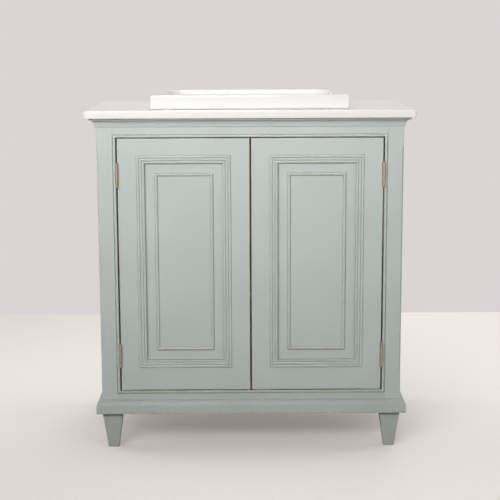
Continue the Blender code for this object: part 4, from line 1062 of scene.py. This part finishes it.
class VANITY_OT_basin(bpy.types.Operator):
    """Make the ceramic basin with its bowl, tap hole and overflow, and the sealant round its foot"""

    bl_idname = "vanity.basin"
    bl_label = "Basin"

    def execute(self, context):
        top = context.scene.vanity_top
        self.read(top, context.scene.vanity_fittings)
        glaze = shared("white_glaze", white_glaze)
        body = shell(self.loops(), ring=True)
        basin = piece("glazed_basin", [body], glaze, "carcass", ["basin"])
        drill(basin, [self.tap_drill(), self.overflow_drill()])
        self.overflow_ring()
        sealant = moulded("tooled_sealant", tuple(top.sealant), 0.5, 3 * MM)
        joint = shell(self.joint(), ring=True)
        piece("sealant_joint", [joint], sealant, "carcass", ["basin_seal"])
        return {"FINISHED"}

    def read(self, top, fittings):
        """Sizes that follow from the basin's box and the settings."""
        low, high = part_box("basin")
        self.top, self.low, self.high = top, low, high
        front = top.skirt + top.room_front + top.wall
        self.half_x = (high.x - low.x) / 2 - top.skirt - top.room_side - top.wall
        self.half_y = (high.y - low.y - front - top.ledge) / 2
        self.centre = (0.0, low.y + front + self.half_y)
        self.outlet = plan(*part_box("waste_body"))[1][0] + SEAT_GAP
        self.outlet_hole = fittings.waste_tube + SEAT_GAP
        self.outlet_seat = fittings.waste_seat
        self.skirt_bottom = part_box("basin_seal")[1].z + SEAT_GAP

    def section(self, turn):
        """Share of the way in from mouth to outlet and depth, on a superellipse: one minus the cosine, and
        the sine, of the turn, both to the power of two over the squareness."""
        power = 2 / self.top.squareness
        inward = 1 - np.cos(turn) ** power
        return inward, self.top.bowl_lip + (self.top.bowl_depth - self.top.bowl_lip) * np.sin(turn) ** power

    def bowl_loop(self, inward, depth, grow):
        """Outline between the bowl's mouth and its round outlet, moved out by grow."""
        half_x = self.half_x + (self.outlet - self.half_x) * inward + grow
        half_y = self.half_y + (self.outlet - self.half_y) * inward + grow
        radius = self.top.bowl_corner + (self.outlet - self.top.bowl_corner) * inward + grow
        return level_loop(rounded_rectangle(half_x, half_y, radius, 12), self.centre, self.high.z - depth)

    def loops(self):
        """Rows from the lip down the bowl, through the outlet, up outside and round the skirt to the rim."""
        top = self.top
        rows = []
        for turn in np.linspace(0, np.pi / 2, 9):
            depth, outward = top.bowl_lip * (1 - np.cos(turn)), top.bowl_lip * (1 - np.sin(turn))
            rows.append(self.bowl_loop(0.0, depth, outward))
        inside = [self.section(turn) for turn in np.radians(np.linspace(3, 86, 40))]
        rows += [self.bowl_loop(inward, depth, 0.0) for inward, depth in inside]
        floor = self.high.z - top.bowl_depth
        seat = floor - self.outlet_seat
        boss = self.outlet + top.wall
        outlet = (
            (self.outlet, floor), (self.outlet, seat), (self.outlet_hole, seat),
            (self.outlet_hole, seat - top.wall), (boss, seat - top.wall), (boss, floor - top.wall),
        )
        rows += [level_loop(rounded_rectangle(r, r, r, 12), self.centre, z) for r, z in outlet]
        outside = reversed(inside[::4])
        rows += [self.bowl_loop(inward, depth + top.wall, top.wall) for inward, depth in outside]
        rows.append(self.bowl_loop(0.0, top.rim_thickness, top.wall))
        foot = top.rim_edge / 2
        rim = np.vstack((
            (top.skirt, self.high.z - top.rim_thickness),
            (top.skirt, self.skirt_bottom),
            arc((foot, self.skirt_bottom + foot), foot, 270, 180, 6),
            arc((top.rim_edge, self.high.z - top.rim_edge), top.rim_edge, 180, 90, 10),
        ))
        return np.concatenate((rows, self.rim_loops(rim)))

    def rim_loops(self, section):
        """The rim's outline drawn in by each inset at its height, no corner tighter than the upper edge."""
        corner = np.maximum(self.top.rim_corner - section[:, 0], self.top.rim_edge)
        return stacked(*plan(self.low, self.high), section, corner, 12)

    def joint(self):
        """Rows of the sealant: a quarter ellipse hollowed from worktop to rim, and the bed behind it."""
        low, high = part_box("basin_seal")
        start, tuck = 0.8 * MM, 2.2 * MM
        hollow = arc((start, high.z), (tuck, high.z - low.z), -90, 0, 6)
        return self.rim_loops(np.vstack((hollow, (self.top.skirt, high.z), (self.top.skirt, low.z))))

    def tap_drill(self):
        """A drill through the ledge, widened at its surface by a quarter arc that rounds the hole's edge."""
        radius, thickness = self.top.tap_hole, self.top.rim_thickness
        flare = 2 * MM
        bend = arc((radius + flare, -flare), flare, 180, 90, 8)
        profile = np.vstack(((radius, -2 * thickness), bend, (radius + flare, thickness)))
        return turned(profile, (0.0, self.high.y - self.top.ledge / 2, self.high.z), 64)

    def overflow_place(self):
        """Middle of the overflow on the bowl's front wall, and the wall's slope there."""
        top = self.top
        share = (top.overflow_drop - top.bowl_lip) / (top.bowl_depth - top.bowl_lip)
        turn = math.asin(share ** (top.squareness / 2))
        nudge = 0.02
        ends = [self.section(turn + step) for step in (-nudge, 0.0, nudge)]
        reach = [self.half_y + (self.outlet - self.half_y) * inward for inward, _ in ends]
        slope = math.atan2(reach[0] - reach[2], ends[2][1] - ends[0][1])
        return Vector((0.0, self.centre[1] - reach[1], self.high.z - top.overflow_drop)), slope

    def overflow_drill(self):
        """A plain drill along Y, stopped inside the wall."""
        place, _ = self.overflow_place()
        depth = 6 * MM
        profile = np.array(((self.top.overflow_radius, -depth), (self.top.overflow_radius, self.half_y)))
        return turned(profile, place, 48, axis=1)

    def overflow_ring(self):
        """A chrome ring seated on the wall: a quarter-round lip outside and a sleeve inside the hole."""
        place, slope = self.overflow_place()
        radius = self.top.overflow_radius - SEAT_GAP
        wall, lip, rise, sleeve = 1 * MM, 3 * MM, 1.6 * MM, 4 * MM
        bend = arc((radius, 0.0), (lip, rise), 0, 90, 8)
        inner = arc((radius, rise / 2), (wall, rise / 2), 90, 180, 6)
        profile = np.vstack((bend, inner, (radius - wall, -sleeve), (radius, -sleeve), (radius, 0.0)))
        grid = turned(profile, (0, 0, 0), 48, axis=1)
        turn = np.array(Matrix.Rotation(slope, 3, "X"))
        ring = shell(grid @ turn.T + np.array(place), ring=True)
        piece("overflow_ring", [ring], chrome(), "carcass")


class VANITY_OT_waste(bpy.types.Operator):
    """Make the basin waste: flange and threaded tail, back nut and rising plug"""

    bl_idname = "vanity.waste"
    bl_label = "Basin Waste"

    def execute(self, context):
        sizes = context.scene.vanity_fittings
        low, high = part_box("waste_body")
        middle, half = plan(low, high)
        self.centre = (*middle, high.z)
        body = shell(self.body(sizes, half[0], high.z - low.z), ring=True)
        piece("drain_body", [body], chrome(), "carcass", ["waste_body"])
        nut = shell(self.nut(sizes.waste_tube + SEAT_GAP), ring=True)
        piece("drain_nut", [nut], brass(), "carcass", ["waste_nut"])
        plug = shell(self.plug(sizes.waste_bore - SEAT_GAP))
        piece("drain_plug", [plug], chrome(), "plug", ["waste_plug"])
        return {"FINISHED"}

    def body(self, sizes, flange, length):
        """A turned tube with a rounded flange. Over its tail the radius falls and rises with the fractional
        part of height over pitch plus turn, which winds one thread round it."""
        bore, tube, sides = sizes.waste_bore, sizes.waste_tube, 96
        edge, neck, tail_start, thread_depth = 1.5 * MM, 0.5 * MM, -26 * MM, 0.7 * MM
        end_length, end_inset = 1 * MM, 0.6 * MM
        seat = SEAT_GAP - sizes.waste_seat
        inner = arc((bore + edge, -edge), edge, 180, 90, 6)
        lip = arc((flange - edge, -edge), edge, 90, 0, 6)
        above = np.vstack((inner, lip, (flange, seat), (tube, seat), (tube, tail_start + neck)))
        levels = np.linspace(tail_start, end_length - length, 160)
        tail = np.column_stack((np.full(len(levels), tube), levels))
        profile = np.vstack((above, tail, (tube - end_inset, -length), (bore, -length)))
        grid = turned(profile, (0, 0, 0), sides)
        threaded = grid[len(above) : len(above) + len(tail)]
        phase = (threaded[..., 2] / sizes.thread + np.arange(sides) / sides) % 1
        threaded[..., :2] *= 1 - thread_depth / tube * np.abs(2 * phase - 1)[..., None]
        return grid + np.asarray(self.centre)

    def nut(self, bore):
        """A hexagon whose radius is the smaller of its flats' distance and a cone that chamfers its ends."""
        low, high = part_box("waste_nut")
        apothem, corner_cut, cone_slope, sides = 29 * MM, 0.6 * MM, 3, 120
        height = high.z - low.z
        turn = np.linspace(0, 2 * np.pi, sides, endpoint=False)
        off_flat = (turn + np.pi / 6) % (np.pi / 3) - np.pi / 6
        up = np.linspace(0, height, 13)[:, None]
        cone = apothem + corner_cut + cone_slope * np.minimum(up, height - up)
        outside = np.minimum(apothem / np.cos(off_flat), cone)
        inside = np.full((1, sides), bore)
        radius = np.vstack((inside, outside, inside))
        level = low.z + np.vstack((0.0, up, height))
        return surface(self.centre[0] + radius * np.cos(turn), self.centre[1] + radius * np.sin(turn), level)

    def plug(self, guide):
        """A turned plug: a guide in the bore, a stem, and a domed cap with a rounded edge."""
        low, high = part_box("waste_plug")
        cap = plan(low, high)[1][0]
        top, bottom = high.z - self.centre[2], low.z - self.centre[2]
        tip, stem, guide_height, edge, dome_start = 0.1 * MM, 5 * MM, 8 * MM, 1.5 * MM, 3.3 * MM
        rim = arc((cap - edge, SEAT_GAP + edge), edge, -90, 60, 8)
        dome = arc((0.0, dome_start), (cap - edge, top - dome_start), 8, 89, 20)
        guide_top = bottom + guide_height
        profile = np.vstack((
            (tip, bottom), (guide, bottom), (guide, guide_top), (stem, guide_top), (stem, SEAT_GAP),
            rim, dome,
        ))
        return turned(profile, self.centre, 72)


# Ironmongery


def slotted_screw(radius, rise, slot):
    """A countersunk head as two halves beside a slot, over a base: each half is an arc closed by a chord,
    drawn in towards its top."""
    start = math.degrees(math.asin(slot / 2 / radius))
    half = arc((0, 0), radius, start, 180 - start, 14)
    edge_level, top_share, base_level = 0.6 * rise, 0.93, 0.1 * rise
    shells = []
    for way in (1, -1):
        loops = []
        for share, z in ((1.0, 0.0), (1.0, edge_level), (top_share, rise)):
            beside_slot = np.maximum(half[:, 1] * share, slot / 2)
            loops.append(surface(way * share * half[:, 0], way * beside_slot, z))
        shells.append(np.stack(loops))
    base = turned(np.array(((radius, -rise), (radius, base_level))), (0, 0, 0), 28)
    return [*shells, base]


def screw_at(sizes, place, facing, turn):
    """Shells of a screw whose head looks along facing, its slot turned by an angle."""
    spin = Matrix.Rotation(turn, 3, "Z")
    aim = Vector((0, 0, 1)).rotation_difference(Vector(facing)).to_matrix()
    matrix = np.array(aim @ spin)
    grids = slotted_screw(sizes.screw, sizes.screw_rise, sizes.slot)
    return [shell(grid @ matrix.T + np.asarray(place)) for grid in grids]


class VANITY_OT_hinges(bpy.types.Operator):
    """Make the four butt hinges with rolled knuckles, pins and screws"""

    bl_idname = "vanity.hinges"
    bl_label = "Hinges"

    def execute(self, context):
        sizes = context.scene.vanity_fittings
        for side, sign in SIDES.items():
            leaves = (("frame", "carcass", sign, 0), ("door", f"{side}_door", -sign, 1))
            screws = {"carcass": [], f"{side}_door": []}
            for level in HINGE_LEVELS:
                end = f"{level}_{side}"
                for use, body, way, first in leaves:
                    name = f"hinge_{use}_leaf_{end}"
                    low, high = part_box(name)
                    shells = self.leaf(sizes, sign * HINGE_X, way, low.z, high.z - low.z, first)
                    piece(f"{use}_leaf_{end}", shells, brass(), body, [name])
                    screws[body] += self.screws(sizes, sign * HINGE_X, way, low.z, high.z)
                pin = shell(self.pin(sizes, f"hinge_pin_{end}", sign * HINGE_X))
                piece(f"headed_pin_{end}", [pin], brass(), "carcass", [f"hinge_pin_{end}"])
            for body, shells in screws.items():
                piece(f"hinge_screws_{body}_{side}", shells, brass(), body)
        return {"FINISHED"}

    def leaf(self, sizes, pin_x, way, bottom, height, first):
        """A plate, and a curl at every other knuckle: the curl's section is two arcs about the pin, one at
        the bore and one a leaf's thickness outside it."""
        outer = sizes.bore + sizes.leaf
        neck = outer + SEAT_GAP
        closing = math.degrees(math.acos((sizes.bore - SEAT_GAP) / outer))
        outside = arc((0, 0), outer, 0, closing - 360, 40)
        inside = arc((0, 0), sizes.bore, closing - 360, 0, 40)
        curl = np.vstack(((outer, neck), outside, inside, (sizes.bore, neck)))
        reach = LEAF_BACK_Y - HINGE_Y
        plate = np.array(((sizes.bore, neck), (outer, neck), (outer, reach), (sizes.bore, reach)))
        pitch = height / sizes.knuckles
        shells = []
        for index in range(first, sizes.knuckles, 2):
            low = bottom + index * pitch + (SEAT_GAP / 2 if index else 0.0)
            high = bottom + (index + 1) * pitch - (SEAT_GAP / 2 if index < sizes.knuckles - 1 else 0.0)
            shells.append(shell(self.extruded(curl, pin_x, way, low, high)))
        shells.append(shell(self.extruded(plate, pin_x, way, bottom, bottom + height)))
        return shells

    def extruded(self, section, pin_x, way, low, high):
        """Two copies of a section, one at each level."""
        return surface(pin_x + way * section[:, 0], HINGE_Y + section[:, 1], np.array((low, high))[:, None])

    def screws(self, sizes, pin_x, way, bottom, top):
        """Three screws up a leaf, the middle one further from the pin, each slot turned by its own angle."""
        near, far = 11.5 * MM, 15.5 * MM
        shells = []
        for index, (share, back) in enumerate(((0.16, near), (0.5, far), (0.84, near))):
            place = (pin_x + way * sizes.bore, HINGE_Y + back, bottom + share * (top - bottom))
            turn = 0.7 + 1.9 * index + 40 * pin_x + 7 * bottom
            shells += screw_at(sizes, place, (-way, 0, 0), turn)
        return shells

    def pin(self, sizes, name, pin_x):
        """A turned pin with a domed head at both ends."""
        low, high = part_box(name)
        head = plan(low, high)[1][0]
        shaft = sizes.bore - SEAT_GAP
        thick = 1.2 * MM
        length = high.z - low.z
        lower = arc((0.0, thick), (head, thick), -85, 0, 8)
        upper = arc((0.0, length - thick), (head, thick), 0, 85, 8)
        profile = np.vstack((lower, (shaft, thick), (shaft, length - thick), upper))
        return turned(profile, (pin_x, HINGE_Y, low.z), 32)


class VANITY_OT_back_board(bpy.types.Operator):
    """Make the back board with its opening for the pipes and the countersunk screws round its edge"""

    bl_idname = "vanity.back_board"
    bl_label = "Back Board"

    def execute(self, context):
        sizes = context.scene.vanity_fittings
        low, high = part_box("back_panel")
        board = shared("rolled_board_paint", rolled_board_paint)
        grid = self.board(context.scene.vanity_joinery, low, high)
        made = piece("back_board", [shell(grid, ring=True)], board, "carcass", ["back_panel"])
        places = self.screw_places(low, high)
        sink = 2 * sizes.screw_rise
        head = sizes.screw + SEAT_GAP
        cone = np.array(((SEAT_GAP, -head), (head, -sink), (head, sink)))
        drill(made, [turned(cone, place, 24, axis=1) for place in places])
        sunk = np.array((0, 1.5 * sizes.screw_rise, 0))
        screws = []
        for index, place in enumerate(places):
            screws += screw_at(sizes, place - sunk, (0, 1, 0), 1.3 * index)
        piece("back_screws", screws, chrome(), "carcass")
        return {"FINISHED"}

    def board(self, joinery, low, high):
        """Rows are the board's outline at front and back, then the opening's at back and front."""
        openings = frame["record"]["physics"]["openings"]
        box = np.array(next(entry["box_m"] for entry in openings if entry["name"] == "service_opening"))
        middle, half = box.mean(axis=0)[[0, 2]], np.ptp(box, axis=0)[[0, 2]] / 2
        centre = ((low.x + high.x) / 2, (low.z + high.z) / 2)
        edge = rounded_rectangle((high.x - low.x) / 2, (high.z - low.z) / 2, joinery.arris, 10)
        hole = rounded_rectangle(*(half + joinery.opening_room), joinery.opening_corner, 10)
        rows = ((edge, centre, low.y), (edge, centre, high.y), (hole, middle, high.y), (hole, middle, low.y))
        return np.stack([upright_loop(*row) for row in rows])

    def screw_places(self, low, high):
        """Evenly spaced points up both sides and along the top and the bottom, a little in from the edge."""
        inset = 5 * MM
        across = np.linspace(low.x + inset, high.x - inset, 4)
        up = np.linspace(low.z + inset, high.z - inset, 5)
        sides = [(x, high.y, z) for x in across[[0, -1]] for z in up]
        ends = [(x, high.y, z) for x in across[1:-1] for z in up[[0, -1]]]
        return np.array(sides + ends)


class VANITY_OT_latch(bpy.types.Operator):
    """Make the push latch with its rods, its screws and the strike plates on the doors"""

    bl_idname = "vanity.latch"
    bl_label = "Push Latch"

    def execute(self, context):
        sizes = context.scene.vanity_fittings
        nylon = moulded("grey_nylon", tuple(sizes.nylon), 0.45, 1 * MM)
        low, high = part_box("latch_housing")
        foot_top = low.z + sizes.latch_foot
        rods = {side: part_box(f"latch_plunger_{side}") for side in SIDES}
        cover = shell(self.cover(low, high, sizes.latch_ear, foot_top))
        cover = piece("latch_cover", [cover], nylon, "carcass", ["latch_housing"])
        drill(cover, [self.bore(*rod) for rod in rods.values()])
        foot = [shell(self.foot(low, high, foot_top))]
        foot += [shell(self.collar(low.y, *rod), ring=True) for rod in rods.values()]
        piece("latch_foot", foot, nylon, "carcass")
        screws = []
        for index, x in enumerate((low.x + sizes.latch_ear / 2, high.x - sizes.latch_ear / 2)):
            screws += screw_at(sizes, (x, (low.y + high.y) / 2, foot_top), (0, 0, 1), 0.4 + index)
        piece("latch_screws", screws, chrome(), "carcass")
        for side, rod in rods.items():
            name, pushed = f"latch_plunger_{side}", shell(self.rod(*rod))
            piece(f"latch_rod_{side}", [pushed], chrome(), f"{side}_plunger", [name])
            x, _, z = self.rod_start(*rod)
            plate = self.strike_plate(sizes, x, z)
            piece(f"{side}_strike_plate", plate, chrome(), f"{side}_door")
        return {"FINISHED"}

    def strike_plate(self, sizes, x, z):
        """A thin upright plate with rounded corners, its visible edge drawn in, and a screw at each end."""
        half, corner = np.array((13, 5)) * MM, 2 * MM
        edge, bedding, screw_reach = 0.25 * MM, 0.05 * MM, 8.5 * MM
        section = ((0.0, bedding), (0.0, sizes.strike - edge), (edge, sizes.strike))
        loops = [(rounded_rectangle(*(half - inset), corner, 6), y) for inset, y in section]
        shells = [shell(np.stack([upright_loop(loop, (x, z), DOOR_BACK_Y + y) for loop, y in loops]))]
        for way in (-1, 1):
            place = (x + way * screw_reach, DOOR_BACK_Y + sizes.strike - sizes.screw_rise, z)
            shells += screw_at(sizes, place, (0, 1, 0), 0.9 + way)
        return shells

    def cover(self, low, high, ear, bottom):
        """Level rounded rectangles that draw in with the mould's draft, and by a quarter arc at the top."""
        draft, edge, corner = 0.02, 1.2 * MM, 1.8 * MM
        centre, half = plan(low, high)
        section = np.vstack(((0.0, bottom - SEAT_GAP), arc((edge, high.z - edge), edge, 180, 90, 8)))
        corners = np.maximum(corner - section[:, 0], edge / 2)
        section[:, 0] += draft * (section[:, 1] - bottom)
        return stacked(centre, half - (ear, 0.0), section, corners, 8)

    def foot(self, low, high, top):
        """A flat rounded plate under the cover, its upper edge drawn in."""
        edge, corner = 0.4 * MM, 4 * MM
        return stacked(*plan(low, high), ((0.0, low.z), (0.0, top - edge), (edge, top)), corner, 8)

    def bore(self, low, high):
        """A drill along a rod, wider by a clearance, and longer by the rod's travel and a clearance."""
        radius = (high.x - low.x) / 2 + SEAT_GAP
        travel = 4 * MM
        profile = np.array(((radius, 0.0), (radius, high.y - low.y + travel + SEAT_GAP)))
        return turned(profile, self.rod_start(low, high), 40, axis=1)

    def collar(self, front, low, high):
        """A ring round a bore, proud of the cover, with its outer edge rounded."""
        inner = (high.x - low.x) / 2 + SEAT_GAP
        wall, proud, edge = 1.8 * MM, 1.0 * MM, 0.5 * MM
        outer, behind = inner + wall, front + edge
        bend = arc((outer - edge, front - proud + edge), edge, -90, 0, 5)
        profile = np.vstack(((inner, front - proud), bend, (outer, behind), (inner, behind)))
        x, _, z = self.rod_start(low, high)
        return turned(profile, (x, 0.0, z), 40, axis=1)

    def rod_start(self, low, high):
        """Middle of a rod's outer end."""
        return (low.x + high.x) / 2, low.y, (low.z + high.z) / 2

    def rod(self, low, high):
        """A turned rod: a domed tip, a narrow groove behind it and a plain shaft."""
        radius = (high.x - low.x) / 2
        dome, groove, groove_place = 1.2 * MM, 0.5 * MM, 2.5 * MM
        tip = arc((0.0, dome), (radius, dome), -86, 0, 8)
        cut = arc((radius, groove_place), groove, 270, 90, 8)
        profile = np.vstack((tip, cut, (radius, high.y - low.y)))
        return turned(profile, self.rod_start(low, high), 40, axis=1)


# Stage


class VANITY_OT_stage(bpy.types.Operator):
    """Set up the floor, the backdrop, the lights and the camera"""

    bl_idname = "vanity.stage"
    bl_label = "Stage"

    def execute(self, context):
        stage = context.scene.vanity_stage
        self.ground(stage)
        self.lights(context.scene, stage)
        self.camera(context.scene, stage)
        context.scene.view_settings.view_transform = "Standard"
        return {"FINISHED"}

    def ground(self, stage):
        """A wide floor, and a backdrop well behind the unit that shows only from its front. Seen straight or
        in a mirror they have their pale colours; the floor throws less light back than that, and the backdrop
        none."""
        reach, height, back = 9.0, 5.0, 1.45
        floor = np.array(((-reach, -reach, 0), (reach, -reach, 0), (reach, reach, 0), (-reach, reach, 0)))
        backdrop = np.array((
            (-reach, back, 0), (reach, back, 0), (reach, back, height), (-reach, back, height),
        ))
        for name, corners in (("floor", floor), ("backdrop", backdrop)):
            mesh = bpy.data.meshes.new(name)
            mesh.from_pydata(corners, [], [(0, 1, 2, 3)])
            made = bpy.data.objects.new(name, mesh)
            bpy.context.scene.collection.objects.link(made)
            mesh.materials.append(self.floor_paint(stage) if name == "floor" else self.backdrop_paint(stage))

    def seen(self, tree):
        """One for rays from the camera, a mirror or glass, and zero for the light that surfaces gather."""
        path = node(tree, "ShaderNodeLightPath").outputs
        mirror = node(
            tree, "ShaderNodeMath", {0: path["Is Camera Ray"], 1: path["Is Glossy Ray"]}, operation="MAXIMUM"
        ).outputs[0]
        return node(
            tree, "ShaderNodeMath", {0: mirror, 1: path["Is Transmission Ray"]}, operation="MAXIMUM"
        ).outputs[0]

    def floor_paint(self, stage):
        """Matt floor paint that shows the unit's shadow and fades into the backdrop's colour far away."""
        material, tree, shader = finish("matt_floor_paint", roughness=0.8, emission_strength=0.25)
        shader.inputs["Base Color"].default_value = stage.floor
        shader.inputs["Emission Color"].default_value = stage.floor
        place = node(tree, "ShaderNodeTexCoord").outputs["Object"]
        far = node(tree, "ShaderNodeVectorMath", {0: place}, operation="LENGTH").outputs["Value"]
        fade = node(
            tree, "ShaderNodeMapRange", {"Value": far, "From Min": 0.9, "From Max": 3.0},
            interpolation_type="SMOOTHSTEP",
        ).outputs[0]
        lit = node(tree, "ShaderNodeEmission", {"Color": tuple(stage.wall)}).outputs[0]
        pale = node(tree, "ShaderNodeMixShader", {0: fade, 1: shader.outputs[0], 2: lit}).outputs[0]
        dim = node(tree, "ShaderNodeBsdfDiffuse", {"Color": tuple(stage.bounce)}).outputs[0]
        mixed = node(tree, "ShaderNodeMixShader", {0: self.seen(tree), 1: dim, 2: pale}).outputs[0]
        tree.links.new(mixed, tree.nodes["Material Output"].inputs["Surface"])
        return material

    def backdrop_paint(self, stage):
        """An evenly lit sheet, clear from behind."""
        material, tree, shader = finish("lit_backdrop")
        tree.nodes.remove(shader)
        clear = node(tree, "ShaderNodeBsdfTransparent").outputs[0]
        lit = node(tree, "ShaderNodeEmission", {"Color": tuple(stage.wall)}).outputs[0]
        behind = node(tree, "ShaderNodeNewGeometry").outputs["Backfacing"]
        front = node(
            tree, "ShaderNodeMath", {0: self.seen(tree), 1: behind}, operation="SUBTRACT", use_clamp=True
        ).outputs[0]
        mixed = node(tree, "ShaderNodeMixShader", {0: front, 1: clear, 2: lit}).outputs[0]
        tree.links.new(mixed, tree.nodes["Material Output"].inputs["Surface"])
        return material

    def lights(self, scene, stage):
        """A wide gridded softbox in front on the left, a plain one on the right, one overhead, three that no
        mirror shows behind and beside the unit, and even light all round. Each softbox has its place, what it
        points at, width, height, spread in degrees and power."""
        boxes = (
            ("key", (-0.85, -2.38, 1.5), (-0.05, -0.2, 1.03), 2.4, 0.6, 82, stage.key),
            ("fill", (2.2, -2.6, 1.6), (0.0, -0.2, 1.1), 1.6, 1.6, 120, stage.fill),
            ("overhead", (0.0, 0.2, 2.4), (0.0, 0.2, 0.9), 1.6, 1.0, 180, stage.overhead),
            ("back", (0.9, 2.6, 1.1), (0.0, 0.2, 0.5), 1.6, 1.2, 180, stage.back),
            ("beside_left", (-2.4, 0.7, 1.2), (0.0, 0.2, 0.5), 1.2, 1.2, 140, stage.beside),
            ("beside_right", (2.4, 0.7, 1.2), (0.0, 0.2, 0.5), 1.2, 1.2, 140, stage.beside),
        )
        for name, place, target, width, height, spread, power in boxes:
            lamp = bpy.data.lights.new(name, "AREA")
            lamp.shape = "RECTANGLE"
            lamp.size = width
            lamp.size_y = height
            lamp.spread = math.radians(spread)
            lamp.energy = power
            made = bpy.data.objects.new(name, lamp)
            made.location = place
            made.rotation_euler = (Vector(target) - Vector(place)).to_track_quat("-Z", "Y").to_euler()
            made.visible_camera = False
            made.visible_glossy = name in ("key", "fill", "overhead")
            scene.collection.objects.link(made)
        world = bpy.data.worlds.new("even_light")
        world.use_nodes = True
        tree = world.node_tree
        light = tree.nodes["Background"]
        light.inputs["Color"].default_value = linear("#FFFFFF")
        light.inputs["Strength"].default_value = stage.sky
        shown = node(tree, "ShaderNodeBackground", {"Color": tuple(stage.wall)}).outputs[0]
        even = light.outputs[0]
        mixed = node(tree, "ShaderNodeMixShader", {0: self.seen(tree), 1: even, 2: shown}).outputs[0]
        tree.links.new(mixed, tree.nodes["World Output"].inputs["Surface"])
        scene.world = world

    def camera(self, scene, stage):
        """Aim by pitch and yaw, then lean the picture's axes by the roll."""
        pitch, yaw, roll = stage.pitch, stage.yaw, stage.roll
        ahead = Vector((math.sin(yaw) * math.cos(pitch), math.cos(yaw) * math.cos(pitch), -math.sin(pitch)))
        right = ahead.cross(Vector((0, 0, 1))).normalized()
        up = right.cross(ahead)
        leaned_right = math.cos(roll) * right + math.sin(roll) * up
        leaned_up = math.cos(roll) * up - math.sin(roll) * right
        lens = bpy.data.cameras.new("camera")
        lens.lens = stage.lens
        lens.sensor_width = 36.0
        camera = bpy.data.objects.new("camera", lens)
        turn = Matrix((leaned_right, leaned_up, -ahead)).transposed()
        camera.matrix_world = Matrix.Translation(stage.eye) @ turn.to_4x4()
        scene.collection.objects.link(camera)
        scene.camera = camera


class VANITY_PT_panel(bpy.types.Panel):
    """Sizes, colours and steps of the vanity unit"""

    bl_idname = "VANITY_PT_panel"
    bl_label = "Vanity Unit"
    bl_space_type = "VIEW_3D"
    bl_region_type = "UI"
    bl_category = "Vanity"

    def draw(self, context):
        for operator in OPERATORS:
            self.layout.operator(operator.bl_idname)
        for name, group in SETTINGS.items():
            box = self.layout.box()
            for setting in group.__annotations__:
                box.prop(getattr(context.scene, name), setting)


SETTINGS = {
    "vanity_paint": VanityPaint,
    "vanity_joinery": VanityJoinery,
    "vanity_mouldings": VanityMouldings,
    "vanity_top": VanityTop,
    "vanity_fittings": VanityFittings,
    "vanity_stage": VanityStage,
}
OPERATORS = (
    VANITY_OT_carcass,
    VANITY_OT_face_frame,
    VANITY_OT_legs,
    VANITY_OT_mouldings,
    VANITY_OT_opening_bead,
    VANITY_OT_doors,
    VANITY_OT_panel_mouldings,
    VANITY_OT_worktop,
    VANITY_OT_basin,
    VANITY_OT_waste,
    VANITY_OT_hinges,
    VANITY_OT_back_board,
    VANITY_OT_latch,
    VANITY_OT_stage,
)


def register():
    """Add the settings, the operators and the panel."""
    for entry in (*SETTINGS.values(), *OPERATORS, VANITY_PT_panel):
        bpy.utils.register_class(entry)
    for name, group in SETTINGS.items():
        setattr(bpy.types.Scene, name, PointerProperty(type=group))


def unregister():
    """Take them away again."""
    for name in SETTINGS:
        delattr(bpy.types.Scene, name)
    for entry in (VANITY_PT_panel, *reversed(OPERATORS), *SETTINGS.values()):
        bpy.utils.unregister_class(entry)


def main():
    """Make every piece and the stage."""
    register()
    bpy.ops.vanity.carcass()
    bpy.ops.vanity.face_frame()
    bpy.ops.vanity.legs()
    bpy.ops.vanity.mouldings()
    bpy.ops.vanity.opening_bead()
    bpy.ops.vanity.doors()
    bpy.ops.vanity.panel_mouldings()
    bpy.ops.vanity.worktop()
    bpy.ops.vanity.basin()
    bpy.ops.vanity.waste()
    bpy.ops.vanity.hinges()
    bpy.ops.vanity.back_board()
    bpy.ops.vanity.latch()
    bpy.ops.vanity.stage()


if __name__ == "__main__":
    main()
